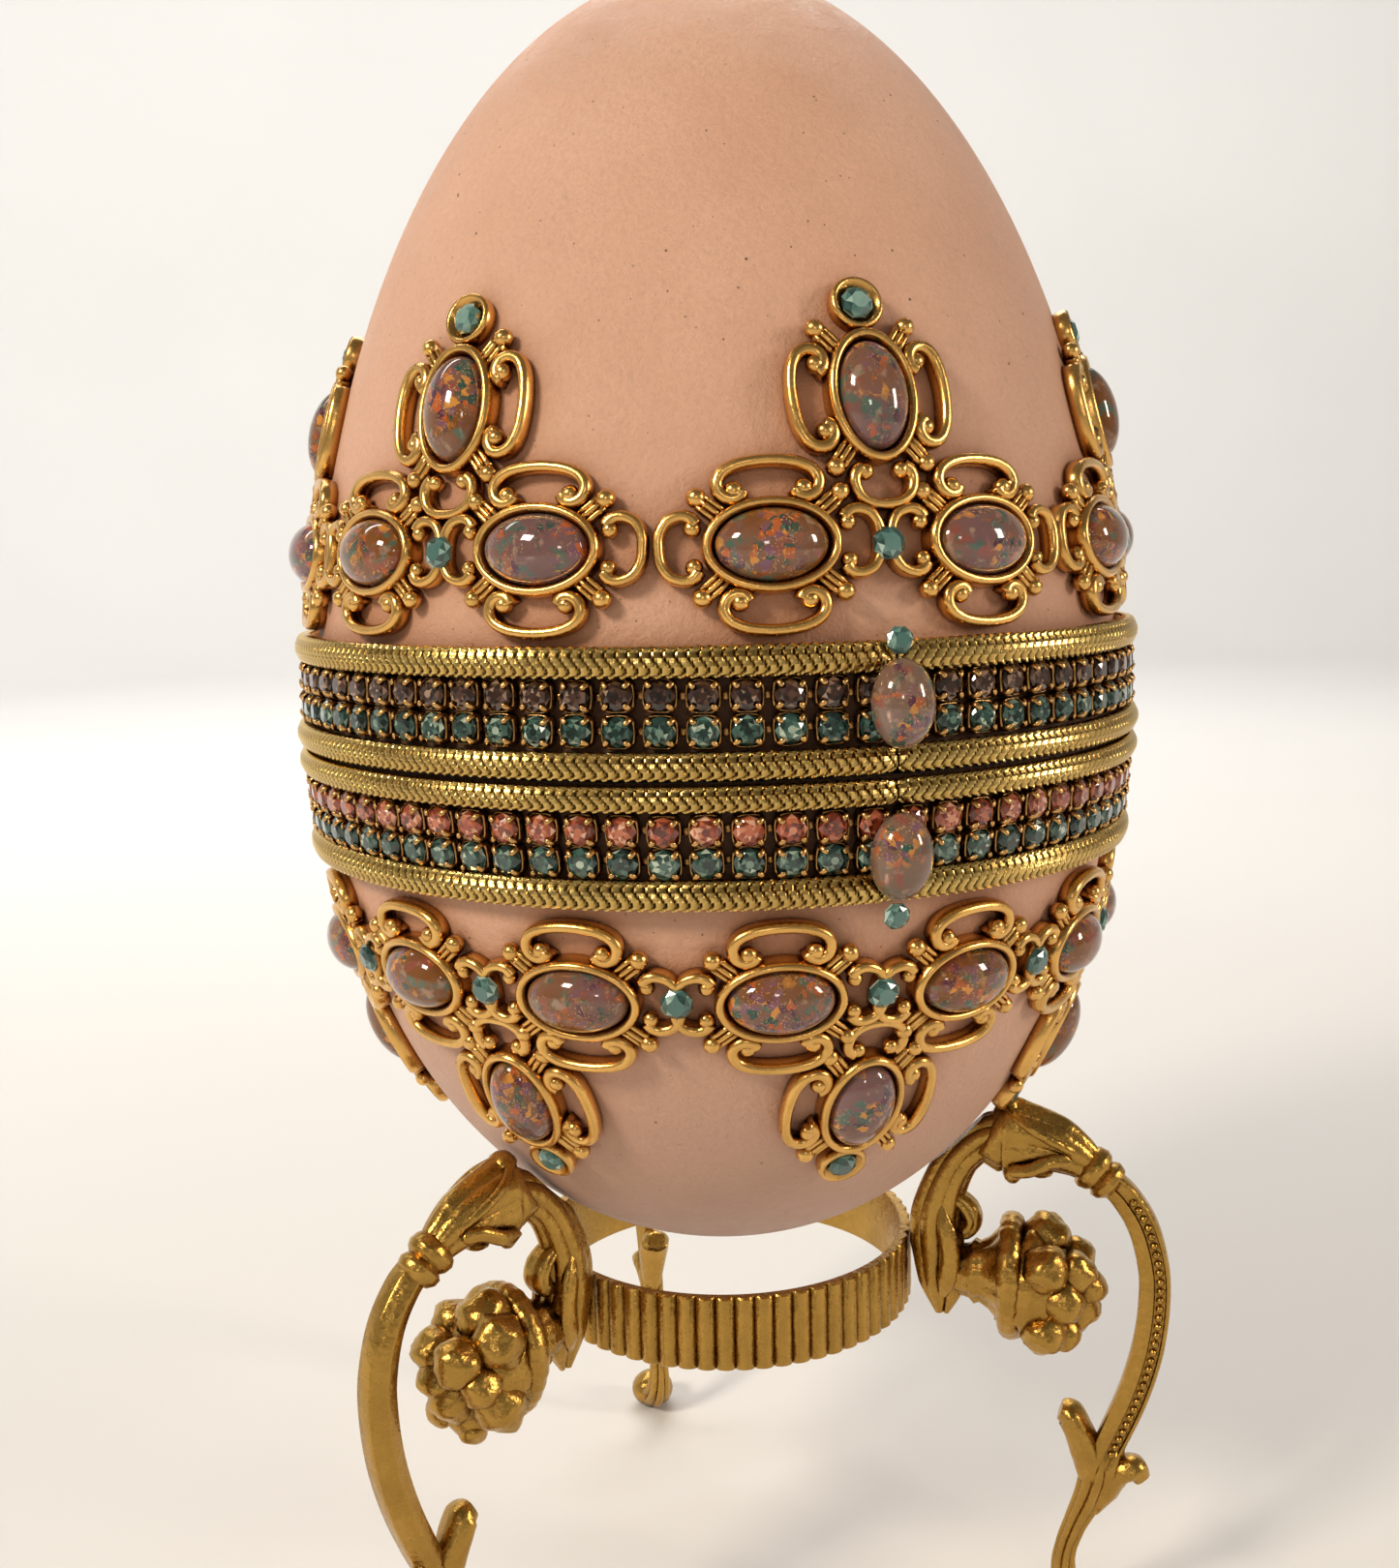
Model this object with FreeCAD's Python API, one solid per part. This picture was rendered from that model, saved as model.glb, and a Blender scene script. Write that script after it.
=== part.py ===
import FreeCAD, Part
import math
import os

from FreeCAD import Matrix, Placement, Rotation, Vector

# Hinged goose-egg trinket box on a three-legged gilt stand.
# Millimetres, +Z up. The origin is on the floor, under the egg's axis.
# The clasp side of the egg faces -Y and its hinge is at +Y.

os.makedirs("parts", exist_ok=True)

# ---- driving dimensions ----
SEAM_Z = 70.0            # height of the cut between base and lid

EGG_WAIST = 28.77        # half width of the egg before its taper
EGG_HALF_LENGTH = 45.47
EGG_MIDDLE = 7.26        # middle of the egg's length, above the seam
EGG_TAPER = 0.107        # how much narrower the top end is than the bottom end
EGG_FULLNESS = 0.038     # rounds out both ends a little more than an ellipse
SHELL_WALL = 1.1         # eggshell, paint and varnish together
SEAM_GAP = 0.3           # between the two cut rims
GLUE = 0.05              # glue or solder line between neighbouring pieces

CLASP_ANGLE = -90.0      # where the front ornaments are, and the trims' ends meet
HINGE_ANGLE = 90.0
TRIM_BUTT = 0.4          # degrees from the clasp line to the end of each strip
TRIM_REACH = 168.5       # degrees from the clasp line to the strip's end at the hinge

BRAID_THICK = 1.6        # out from the shell
BRAIDS = {"lid_upper_braid": (6.96, 2.0), "lid_lower_braid": (1.05, 1.8),
          "base_upper_braid": (-1.0, 1.7), "base_lower_braid": (-6.68, 2.0)}  # level, height

CHAIN_LEVELS = {"lid_purple": 4.98, "lid_teal": 2.96, "base_pink": -2.8, "base_teal": -4.72}
CHAIN_PITCH = 4.8        # degrees from stone to stone
CHAIN_STONES = 35        # on each side of the clasp line
CHAIN_HEIGHT = 1.86
CHAIN_DEPTH = 1.0
CHAIN_FLOOR = 0.3
CHAIN_LIP = 0.16
CHAIN_STONE_WIDTH = 1.46
CHAIN_STONE_TABLE = 0.8
CHAIN_STONE_DEPTH = 1.3
CHAIN_STONE_BODY = 0.78  # straight part of a stone, under its crown

MOTIFS = 7               # crests and drops around the egg
LID_FRONT_PITCH = 54.0   # degrees from the clasp's crest to the crests beside it
BASE_FRONT_PITCH = 360.0 / MOTIFS
FILIGREE_THICK = 1.3
BEZEL = (7.2, 5.1)       # outside of the oval cup of one filigree connector
OPAL = (6.1, 4.2)        # oval cabochon
OPAL_DOME = 2.1
OPAL_SEAT = 0.5          # height of the cup's floor
LOOP_WIRE = 0.75
LONG_SCROLL = (6.4, 3.2)     # loops above and below a connector's cup
LONG_SCROLL_OUT = 3.35       # from the cup's middle to the loop's middle
END_SCROLL = (2.6, 3.6)      # loops at a connector's two ends
END_SCROLL_OUT = 4.05
CORNER_BAR = (2.1, 0.9)      # bars that tie the loops together at the corners
CORNER_BAR_ROOT = (2.5, 1.45)
CORNER_BAR_ANGLE = 40.0
ROW_LEVEL = 13.2         # filigree row, above and below the seam
CREST_LEVEL = 21.6
DROP_LEVEL = -21.2
CREST_STONE_REACH = 5.6  # from a crest's middle to its small stone
CREST_CUP_RIM = 0.4

TEAL_STONE = 2.0         # diameter of the round flat-backed stones
TEAL_STONE_THICK = 1.0
TEAL_STONE_EDGE = 0.3    # straight edge under its bevelled crown
TEAL_TABLE = 0.55        # width of the flat table, as a share of the stone
LINK_STONE_LIFT = 1.4    # the link stones bridge the ends of two connectors

FRONT_OPAL = (5.0, 3.5)
FRONT_OPAL_LEVELS = {"lid": 4.15, "base": -4.35}
FRONT_STONE_LEVELS = {"lid": 7.6, "base": -7.8}
FRONT_STONE = 1.65
FRONT_LIFT = 1.75        # from the shell to the flat backs of the front ornaments

HINGE_AXIS_Y = 30.35
BARREL_RADIUS = 1.0
PIN_RADIUS = 0.5
PIN_PLAY = 0.04
HINGE_WIDTH = 10.0
LID_KNUCKLE = 3.2
KNUCKLE_GAP = 0.2
LEAF_BACK_Y = 29.05
LEAF_THICK = 0.5
LEAF_REACH = 6.6         # from the seam to the leaf's far edge
LEAF_CLEARANCE = 0.35    # from the barrel to the leaf's full width
NECK_START = 0.2         # from the seam to the necks that carry the knuckles
PIN_END = 0.2            # how far the pin stands out at each end

RING_RADIUS = 14.3
RING_TOP = -38.8
RING_HEIGHT = 5.4
RING_WALL = 0.45         # from the bore to the valleys between the reeds
REEDS = 63
REED_DEPTH = 0.45

LEG_ANGLES = {"back": 85.0, "left": 205.0, "right": 325.0}
LEG_THICK = 2.4          # across the leg's own plane
SEAT_GAP = 0.3           # between the egg and the legs' seats
SEAT_LEVELS = (-18.0, -23.0, -28.0, -33.0, -36.5)  # where the egg's lower end is measured

# The leg's branches, from the ring outwards: radius from the axis, level from the seam, width.
STEM = [(15.45, -44.8, 0.5), (15.5, -43.0, 1.9), (15.55, -40.0, 2.1), (16.2, -37.2, 2.4),
        (17.0, -34.4, 2.6), (18.7, -32.0, 2.9), (21.6, -31.1, 3.2)]
CUFF = [(21.6, -31.0, 4.8), (23.4, -30.9, 4.4), (25.2, -31.2, 3.9), (27.0, -32.0, 3.0),
        (28.4, -32.9, 2.6)]
CUFF_THICK = 3.6
ARM = [(27.6, -32.4, 2.6), (29.9, -34.3, 2.4), (31.6, -37.2, 2.6), (32.1, -40.4, 2.6),
       (31.8, -45.3, 2.6), (30.5, -50.2, 2.6), (28.8, -54.6, 2.6), (26.8, -60.7, 2.2),
       (26.1, -64.4, 2.0), (26.9, -67.0, 2.2), (28.8, -68.4, 2.6)]
COLLAR_SPOT = (27.8, -32.6)      # radius and level of the collar's upper end
COLLAR_RADIUS = 1.75
COLLAR_LENGTH = 1.5
COLLAR_SLOPE = (0.8, -0.6)       # direction of the arm where it leaves the collar
INNER_LEAF = (28.4, -56.0, 4.6, 2.0, -112.0)  # radius, level, length, width, angle
OUTER_LEAF = (28.6, -57.0, 3.2, 2.2, -22.0)
LEAF_TIP = 0.3
LEAF_DEPTH = 1.3                 # across the leg's own plane
FOOT_SPOT = 29.4                 # radius from the egg's axis to the foot's middle
FOOT_RADIUS = 2.0
FOOT_LEVEL = 1.6                 # lower than its radius, so that the foot stands on a flat

CORNUCOPIA_START = 16.8          # radius of the solder joint on the leg's stem
CORNUCOPIA_LEVEL = -41.5
CORNUCOPIA_FLATNESS = 0.82
TAIL_LENGTH = 2.2
BASKET_LENGTH = 3.4
TAIL_RADIUS = 1.4
NECK_RADIUS = 2.4                # where the tail widens into the basket
RIM_RADIUS = 4.4
# Fruit of a cornucopia: distance out from the solder joint, across, up, and radius.
FRUITS = [(7.2, 0.0, 0.0, 3.6), (7.4, 2.6, 2.3, 2.2), (7.4, -2.6, 2.3, 2.2),
          (7.4, 2.6, -2.6, 2.2), (7.4, -2.6, -2.6, 2.2), (7.2, 0.0, 3.0, 2.0),
          (7.8, 0.0, -3.2, 2.0), (9.8, 1.5, 0.9, 1.9), (9.8, -1.5, 0.9, 1.9),
          (9.4, 0.0, -1.8, 2.1)]


def egg_radius(level):
    """Outside radius of the egg at a level measured from the seam."""
    share = (level - EGG_MIDDLE) / EGG_HALF_LENGTH
    oval = math.sqrt(max(0.0, 1.0 - share * share))
    return EGG_WAIST * oval * (1.0 - EGG_TAPER * share + EGG_FULLNESS * share * share)


def egg_lean(level):
    """Angle between the egg's surface and the vertical, positive where it faces up."""
    step = 0.01
    slope = (egg_radius(level + step) - egg_radius(level - step)) / (2.0 * step)
    return math.atan(-slope)


def egg_point(level, inset):
    """Point of the egg's section, moved inwards along the surface's normal."""
    lean = egg_lean(level)
    radius = egg_radius(level) - inset * math.cos(lean)
    return Vector(radius, 0.0, SEAM_Z + level - inset * math.sin(lean))


def on_egg(angle, level, lift=0.0, turn=0.0):
    """Place a piece on the egg: its X runs around, its Y up the shell, its Z out of it."""
    around = math.radians(angle)
    lean = egg_lean(level)
    outward = Vector(math.cos(lean) * math.cos(around), math.cos(lean) * math.sin(around),
                     math.sin(lean))
    sideways = Vector(-math.sin(around), math.cos(around), 0.0)
    upward = outward.cross(sideways)
    foot = Vector(egg_radius(level) * math.cos(around), egg_radius(level) * math.sin(around),
                  SEAM_Z + level)
    turned = Rotation(sideways, upward, outward, "ZXY").multiply(Rotation(Vector(0, 0, 1), turn))
    return Placement(foot + outward * lift, turned)


def placed(shape, placement):
    """Copy of a shape, moved to a placement."""
    return shape.transformed(placement.toMatrix(), True)


def save(name, shape):
    """Write one piece, or a group of like pieces, to its own file."""
    solids = shape if isinstance(shape, list) else [shape]
    group = solids[0] if len(solids) == 1 else Part.makeCompound(solids)
    group.exportStep("parts/" + name + ".step")


def face_of(points):
    """Flat face inside a closed outline."""
    return Part.Face(Part.makePolygon(points + [points[0]]))


def revolved(face, start, sweep):
    """Turn a section in the XZ plane about the egg's axis, from a starting angle."""
    turned = face.copy()
    turned.rotate(Vector(0, 0, 0), Vector(0, 0, 1), start)
    return turned.revolve(Vector(0, 0, 0), Vector(0, 0, 1), sweep)


# ---- the egg's two shells ----
def section_curve(levels, inset, apex):
    """Smooth curve through the egg's section that ends flat on the axis."""
    points = [egg_point(level, inset) for level in levels] + [Vector(0, 0, apex)]
    first = points[1] - points[0]
    curve = Part.BSplineCurve()
    curve.interpolate(Points=points, InitialTangent=first.normalize(), FinalTangent=Vector(-1, 0, 0))
    return curve


def half_shell(side):
    """Lid for side 1, base for side -1: a dome with an open, flat rim at the seam."""
    tip = EGG_MIDDLE + side * EGG_HALF_LENGTH
    rim = side * SEAM_GAP / 2.0
    shares = (0.0, 0.2, 0.4, 0.58, 0.74, 0.86, 0.94, 0.985)
    levels = [rim + (tip - rim) * share for share in shares]
    outside = section_curve(levels, 0.0, SEAM_Z + tip)
    inside = section_curve(levels, SHELL_WALL, SEAM_Z + tip - side * SHELL_WALL)
    edges = [outside.toShape(),
             Part.makeLine(outside.EndPoint, inside.EndPoint),
             inside.toShape(),
             Part.makeLine(inside.StartPoint, outside.StartPoint)]
    section = Part.Face(Part.Wire(Part.__sortEdges__(edges)))
    return revolved(section, 0.0, 360.0)


# ---- trims: braids, cup chains and their stones ----
def trim_strips(face):
    """Two strips of one section, from the clasp line around each side to the hinge."""
    sweep = TRIM_REACH - TRIM_BUTT
    return [revolved(face, CLASP_ANGLE + TRIM_BUTT, sweep),
            revolved(face, CLASP_ANGLE - TRIM_BUTT, -sweep)]


def braid(level, height):
    """Oval cord of metallic braid around one half of the egg, taller than it is thick."""
    centre = Vector(egg_radius(level) + GLUE + BRAID_THICK / 2.0, 0.0, SEAM_Z + level)
    top = centre + Vector(0.0, 0.0, height / 2.0)
    outside = centre + Vector(BRAID_THICK / 2.0, 0.0, 0.0)
    return trim_strips(Part.Face(Part.Wire(Part.Ellipse(top, outside, centre).toShape())))


def chain(level):
    """The cups of a rhinestone chain, as a channel that holds its stones."""
    back = egg_radius(level) + GLUE
    front = back + CHAIN_DEPTH
    low = SEAM_Z + level - CHAIN_HEIGHT / 2.0
    high = low + CHAIN_HEIGHT
    outline = [Vector(back, 0, low), Vector(front, 0, low), Vector(front, 0, low + CHAIN_LIP),
               Vector(back + CHAIN_FLOOR, 0, low + CHAIN_LIP),
               Vector(back + CHAIN_FLOOR, 0, high - CHAIN_LIP),
               Vector(front, 0, high - CHAIN_LIP), Vector(front, 0, high), Vector(back, 0, high)]
    return trim_strips(face_of(outline))


def chain_stones(level):
    """Round stones, one to a cup, on both sides of the clasp line."""
    girdle = CHAIN_STONE_WIDTH / 2.0
    crown = Part.makeCone(girdle, CHAIN_STONE_TABLE / 2.0, CHAIN_STONE_DEPTH - CHAIN_STONE_BODY,
                          Vector(0, 0, CHAIN_STONE_BODY))
    stone = Part.makeCylinder(girdle, CHAIN_STONE_BODY).fuse(crown)
    lift = CHAIN_FLOOR + 2.0 * GLUE
    around = Placement(Vector(egg_radius(level) + lift, 0, SEAM_Z + level),
                       Rotation(Vector(0, 1, 0), 90.0))
    first = placed(stone, around)
    stones = []
    for side in (-1.0, 1.0):
        for index in range(CHAIN_STONES):
            angle = CLASP_ANGLE + side * (index + 0.5) * CHAIN_PITCH
            spin = Placement(Vector(0, 0, 0), Rotation(Vector(0, 0, 1), angle))
            stones.append(placed(first, spin))
    return stones


# ---- filigree connectors ----
def oval_disc(width, height, thick, base=0.0):
    """Flat oval plate in the XY plane."""
    oval = Part.Ellipse(Vector(0, 0, base), width / 2.0, height / 2.0)
    return Part.Face(Part.Wire(oval.toShape())).extrude(Vector(0, 0, thick))


def oval_loop(x, y, width, height):
    """Flat oval wire loop centred on a point of the XY plane."""
    if width >= height:
        outer = oval_disc(width, height, FILIGREE_THICK)
        inner = oval_disc(width - 2 * LOOP_WIRE, height - 2 * LOOP_WIRE, FILIGREE_THICK)
    else:
        outer = oval_disc(height, width, FILIGREE_THICK)
        inner = oval_disc(height - 2 * LOOP_WIRE, width - 2 * LOOP_WIRE, FILIGREE_THICK)
    loop = outer.cut(inner)
    if width < height:
        loop.rotate(Vector(0, 0, 0), Vector(0, 0, 1), 90.0)
    loop.translate(Vector(x, y, 0))
    return loop


def connector():
    """One filigree connector: oval opal cup, two long scrolls, two end scrolls, four bars."""
    pieces = [oval_disc(BEZEL[0], BEZEL[1], FILIGREE_THICK)]
    for side in (-1.0, 1.0):
        pieces.append(oval_loop(0.0, side * LONG_SCROLL_OUT, LONG_SCROLL[0], LONG_SCROLL[1]))
        pieces.append(oval_loop(side * END_SCROLL_OUT, 0.0, END_SCROLL[0], END_SCROLL[1]))
        for end in (-1.0, 1.0):
            length, width = CORNER_BAR
            bar = Part.makeBox(length, width, FILIGREE_THICK, Vector(0.0, -width / 2.0, 0.0))
            bar.rotate(Vector(0, 0, 0), Vector(0, 0, 1), CORNER_BAR_ANGLE)
            bar.translate(Vector(CORNER_BAR_ROOT[0], CORNER_BAR_ROOT[1], 0.0))
            if side < 0:
                bar = bar.mirror(Vector(0, 0, 0), Vector(1, 0, 0))
            if end < 0:
                bar = bar.mirror(Vector(0, 0, 0), Vector(0, 1, 0))
            pieces.append(bar)
    solid = pieces[0].multiFuse(pieces[1:])
    seat = oval_disc(OPAL[0] + 2 * GLUE, OPAL[1] + 2 * GLUE, FILIGREE_THICK, OPAL_SEAT)
    return solid.cut(seat).removeSplitter().Solids[0]


def crest():
    """A connector for the crests and drops, with a round stone cup at its outer end."""
    solid = connector()
    solid.rotate(Vector(0, 0, 0), Vector(0, 0, 1), 90.0)
    cup = Part.makeCylinder(TEAL_STONE / 2.0 + CREST_CUP_RIM, FILIGREE_THICK,
                            Vector(0, CREST_STONE_REACH, 0))
    recess = Part.makeCylinder(TEAL_STONE / 2.0 + GLUE, FILIGREE_THICK,
                               Vector(0, CREST_STONE_REACH, OPAL_SEAT))
    return solid.fuse(cup).cut(recess).removeSplitter().Solids[0]


def cabochon(size=OPAL):
    """Oval domed opal with a flat back."""
    long_half = size[0] / 2.0
    ball = Part.makeSphere(long_half, Vector(0, 0, 0), Vector(0, 0, 1), 0.0, 90.0, 360.0)
    squash = Matrix()
    squash.scale(Vector(1.0, size[1] / size[0], OPAL_DOME / long_half))
    return ball.transformGeometry(squash)


def round_stone(diameter=TEAL_STONE):
    """Round flat-backed stone with a flat table."""
    table = TEAL_TABLE * diameter
    girdle = Part.makeCylinder(diameter / 2.0, TEAL_STONE_EDGE)
    crown = Part.makeCone(diameter / 2.0, table / 2.0, TEAL_STONE_THICK - TEAL_STONE_EDGE,
                          Vector(0, 0, TEAL_STONE_EDGE))
    return girdle.fuse(crown)


def motif_angles(front_pitch):
    """Middles of the seven crests or drops: one at the clasp, the rest even behind its neighbours."""
    rear_pitch = (360.0 - 2.0 * front_pitch) / (MOTIFS - 2)
    one_side = [front_pitch + index * rear_pitch for index in range(MOTIFS // 2)]
    offsets = [-offset for offset in reversed(one_side)] + [0.0] + one_side
    return [CLASP_ANGLE + offset for offset in offsets]


def gap_after(angles, index):
    """Degrees from one motif to the next one around the egg."""
    return (angles[(index + 1) % MOTIFS] - angles[index]) % 360.0


def row_angles(front_pitch):
    """Middles of the fourteen connectors of a row, two to a motif."""
    angles = motif_angles(front_pitch)
    row = []
    for index, angle in enumerate(angles):
        half = (gap_after(angles, index - 1) + gap_after(angles, index)) / 8.0
        row += [angle - half, angle + half]
    return row


def copies(shape, angles, level, lift, turn=0.0):
    """The same piece at several angles around the egg."""
    return [placed(shape, on_egg(angle, level, lift, turn)) for angle in angles]


def crest_stones(angles, level, side):
    """The small stones in the cups of the crests or the drops."""
    stones = []
    for angle in angles:
        frame = on_egg(angle, level, GLUE)
        spot = Placement(Vector(0.0, side * CREST_STONE_REACH, OPAL_SEAT + GLUE), Rotation())
        stones.append(placed(round_stone(), frame.multiply(spot)))
    return stones


# ---- hinge ----
def barrel(start, length, bore):
    """Piece of the hinge's barrel along X, bored for the pin."""
    origin = Vector(start, HINGE_AXIS_Y, SEAM_Z)
    outer = Part.makeCylinder(BARREL_RADIUS, length, origin, Vector(1, 0, 0))
    return outer.cut(Part.makeCylinder(bore, length, origin, Vector(1, 0, 0)))


def leaf_plate(left, right, near, far, side):
    """Flat part of a hinge leaf, between two distances from the seam."""
    low = SEAM_Z + min(side * near, side * far)
    return Part.makeBox(right - left, LEAF_THICK, abs(far - near), Vector(left, LEAF_BACK_Y, low))


def hinge_leaves():
    """Base leaf with two knuckles, lid leaf with one between them, and the pin."""
    half = HINGE_WIDTH / 2.0
    lid_half = LID_KNUCKLE / 2.0
    inner = lid_half + KNUCKLE_GAP
    clear = BARREL_RADIUS + LEAF_CLEARANCE
    bore = PIN_RADIUS + PIN_PLAY
    base_leaf = leaf_plate(-half, half, clear, LEAF_REACH, -1.0)
    for start in (-half, inner):
        base_leaf = base_leaf.fuse(leaf_plate(start, start + half - inner, NECK_START, clear, -1.0))
        base_leaf = base_leaf.fuse(barrel(start, half - inner, PIN_RADIUS))
    lid_leaf = leaf_plate(-half, half, clear, LEAF_REACH, 1.0)
    lid_leaf = lid_leaf.fuse(leaf_plate(-lid_half, lid_half, NECK_START, clear, 1.0))
    lid_leaf = lid_leaf.fuse(barrel(-lid_half, LID_KNUCKLE, bore))
    pin = Part.makeCylinder(PIN_RADIUS, HINGE_WIDTH + 2.0 * PIN_END,
                            Vector(-half - PIN_END, HINGE_AXIS_Y, SEAM_Z), Vector(1, 0, 0))
    return base_leaf.removeSplitter(), lid_leaf.removeSplitter(), pin


# ---- stand ----
def reeded_ring():
    """Plain-bored ring with half-round reeds side by side around its outside."""
    valley = RING_RADIUS - REED_DEPTH
    step = 2.0 * math.pi / REEDS

    def at(radius, turns):
        return Vector(radius * math.cos(turns * step), radius * math.sin(turns * step), 0.0)

    arcs = [Part.Arc(at(valley, reed), at(RING_RADIUS, reed + 0.5), at(valley, reed + 1)).toShape()
            for reed in range(REEDS)]
    outside = Part.Face(Part.Wire(arcs))
    bottom = SEAM_Z + RING_TOP - RING_HEIGHT
    solid = outside.extrude(Vector(0, 0, RING_HEIGHT))
    bore = Part.makeCylinder(valley - RING_WALL, RING_HEIGHT)
    ring = solid.cut(bore)
    ring.translate(Vector(0, 0, bottom))
    return ring


def limb(stations, thick):
    """Flat curved bar along stations of (radius, level, width), centred on the XZ plane."""
    centres = [Vector(radius, 0, SEAM_Z + level) for radius, level, width in stations]
    near, far = [], []
    for index, centre in enumerate(centres):
        before = centres[max(index - 1, 0)]
        after = centres[min(index + 1, len(centres) - 1)]
        along = (after - before).normalize()
        across = Vector(along.z, 0, -along.x) * (stations[index][2] / 2.0)
        near.append(centre + across)
        far.append(centre - across)
    sides = []
    for points in (near, far):
        curve = Part.BSplineCurve()
        curve.interpolate(points)
        sides.append(curve.toShape())
    caps = [Part.makeLine(near[0], far[0]), Part.makeLine(near[-1], far[-1])]
    outline = Part.Wire(Part.__sortEdges__(sides + caps))
    bar = Part.Face(outline).extrude(Vector(0, thick, 0))
    bar.translate(Vector(0, -thick / 2.0, 0))
    return bar


def leaf(radius, level, length, width, angle):
    """Small pointed leaf in the leg's plane, from its root towards an angle."""
    root, middle, tip = (0.0, 0.0, 0.7 * width), (0.4 * length, 0.0, width), (length, 0.0, LEAF_TIP)
    flat = limb([root, middle, tip], LEAF_DEPTH)
    flat.translate(Vector(0, 0, -SEAM_Z))
    flat.rotate(Vector(0, 0, 0), Vector(0, 1, 0), -angle)
    flat.translate(Vector(radius, 0, SEAM_Z + level))
    return flat


def egg_room():
    """The egg's lower end made larger by the seats' gap."""
    points = [egg_point(level, -SEAT_GAP) for level in SEAT_LEVELS]
    tip = SEAM_Z + EGG_MIDDLE - EGG_HALF_LENGTH - SEAT_GAP
    curve = Part.BSplineCurve()
    curve.interpolate(Points=points + [Vector(0, 0, tip)],
                      InitialTangent=(points[1] - points[0]).normalize(),
                      FinalTangent=Vector(-1, 0, 0))
    top = Vector(0, 0, points[0].z)
    edges = [curve.toShape(), Part.makeLine(Vector(0, 0, tip), top), Part.makeLine(top, points[0])]
    return revolved(Part.Face(Part.Wire(Part.__sortEdges__(edges))), 0.0, 360.0)


def leg():
    """One scrolled leg in the XZ plane: stem, cuff, collar, arm, two leaves and the foot."""
    collar = Part.makeCylinder(COLLAR_RADIUS, COLLAR_LENGTH,
                               Vector(COLLAR_SPOT[0], 0, SEAM_Z + COLLAR_SPOT[1]),
                               Vector(COLLAR_SLOPE[0], 0, COLLAR_SLOPE[1]))
    foot = Part.makeSphere(FOOT_RADIUS, Vector(FOOT_SPOT, 0, FOOT_LEVEL))
    under = 4.0 * FOOT_RADIUS
    floor = Part.makeBox(under, under, under, Vector(FOOT_SPOT - under / 2.0, -under / 2.0, -under))
    branches = [limb(CUFF, CUFF_THICK), limb(ARM, LEG_THICK), collar, foot,
                leaf(*INNER_LEAF), leaf(*OUTER_LEAF)]
    solid = limb(STEM, LEG_THICK).multiFuse(branches)
    return solid.cut(floor).cut(egg_room()).Solids[0]


def cornucopia():
    """Basket of fruit that grows outwards from the leg's stem, flatter across than it is tall."""
    outward = Vector(1, 0, 0)
    tail = Part.makeCone(TAIL_RADIUS, NECK_RADIUS, TAIL_LENGTH, Vector(0, 0, 0), outward)
    basket = Part.makeCone(NECK_RADIUS, RIM_RADIUS, BASKET_LENGTH, Vector(TAIL_LENGTH, 0, 0), outward)
    balls = [Part.makeSphere(radius, Vector(out, across, up)) for out, across, up, radius in FRUITS]
    whole = tail.multiFuse([basket] + balls).removeSplitter().Solids[0]
    flatten = Matrix()
    flatten.scale(Vector(1.0, CORNUCOPIA_FLATNESS, 1.0))
    whole = whole.transformGeometry(flatten)
    whole.translate(Vector(CORNUCOPIA_START, 0, SEAM_Z + CORNUCOPIA_LEVEL))
    return whole


# ---- write every piece ----
save("lid_shell", half_shell(1.0))
save("base_shell", half_shell(-1.0))

for name, (level, height) in BRAIDS.items():
    save(name, braid(level, height))
for name, level in CHAIN_LEVELS.items():
    save(name + "_chain", chain(level))
    save(name + "_stones", chain_stones(level))

opal_lift = OPAL_SEAT + 2 * GLUE
lid_motifs, lid_row = motif_angles(LID_FRONT_PITCH), row_angles(LID_FRONT_PITCH)
save("lid_filigree_row", copies(connector(), lid_row, ROW_LEVEL, GLUE))
save("lid_row_opals", copies(cabochon(), lid_row, ROW_LEVEL, opal_lift))
save("lid_link_stones", copies(round_stone(), lid_motifs, ROW_LEVEL, LINK_STONE_LIFT))
save("lid_filigree_crests", copies(crest(), lid_motifs, CREST_LEVEL, GLUE))
save("lid_crest_opals", copies(cabochon(), lid_motifs, CREST_LEVEL, opal_lift, 90.0))
save("lid_crest_stones", crest_stones(lid_motifs, CREST_LEVEL, 1.0))

base_motifs, base_row = motif_angles(BASE_FRONT_PITCH), row_angles(BASE_FRONT_PITCH)
base_links = base_motifs + [angle + BASE_FRONT_PITCH / 2.0 for angle in base_motifs]
save("base_filigree_row", copies(connector(), base_row, -ROW_LEVEL, GLUE))
save("base_row_opals", copies(cabochon(), base_row, -ROW_LEVEL, opal_lift))
save("base_link_stones", copies(round_stone(), base_links, -ROW_LEVEL, LINK_STONE_LIFT))
save("base_filigree_drops", copies(crest(), base_motifs, DROP_LEVEL, GLUE, 180.0))
save("base_drop_opals", copies(cabochon(), base_motifs, DROP_LEVEL, opal_lift, 90.0))
save("base_drop_stones", crest_stones(base_motifs, DROP_LEVEL, -1.0))

for half, level in FRONT_OPAL_LEVELS.items():
    save(half + "_front_opal", copies(cabochon(FRONT_OPAL), [CLASP_ANGLE], level, FRONT_LIFT, 90.0))
for half, level in FRONT_STONE_LEVELS.items():
    save(half + "_front_stone",
         copies(round_stone(FRONT_STONE), [CLASP_ANGLE], level, FRONT_LIFT))

base_leaf, lid_leaf, hinge_pin = hinge_leaves()
save("base_hinge_leaf", base_leaf)
save("lid_hinge_leaf", lid_leaf)
save("hinge_pin", hinge_pin)

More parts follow.
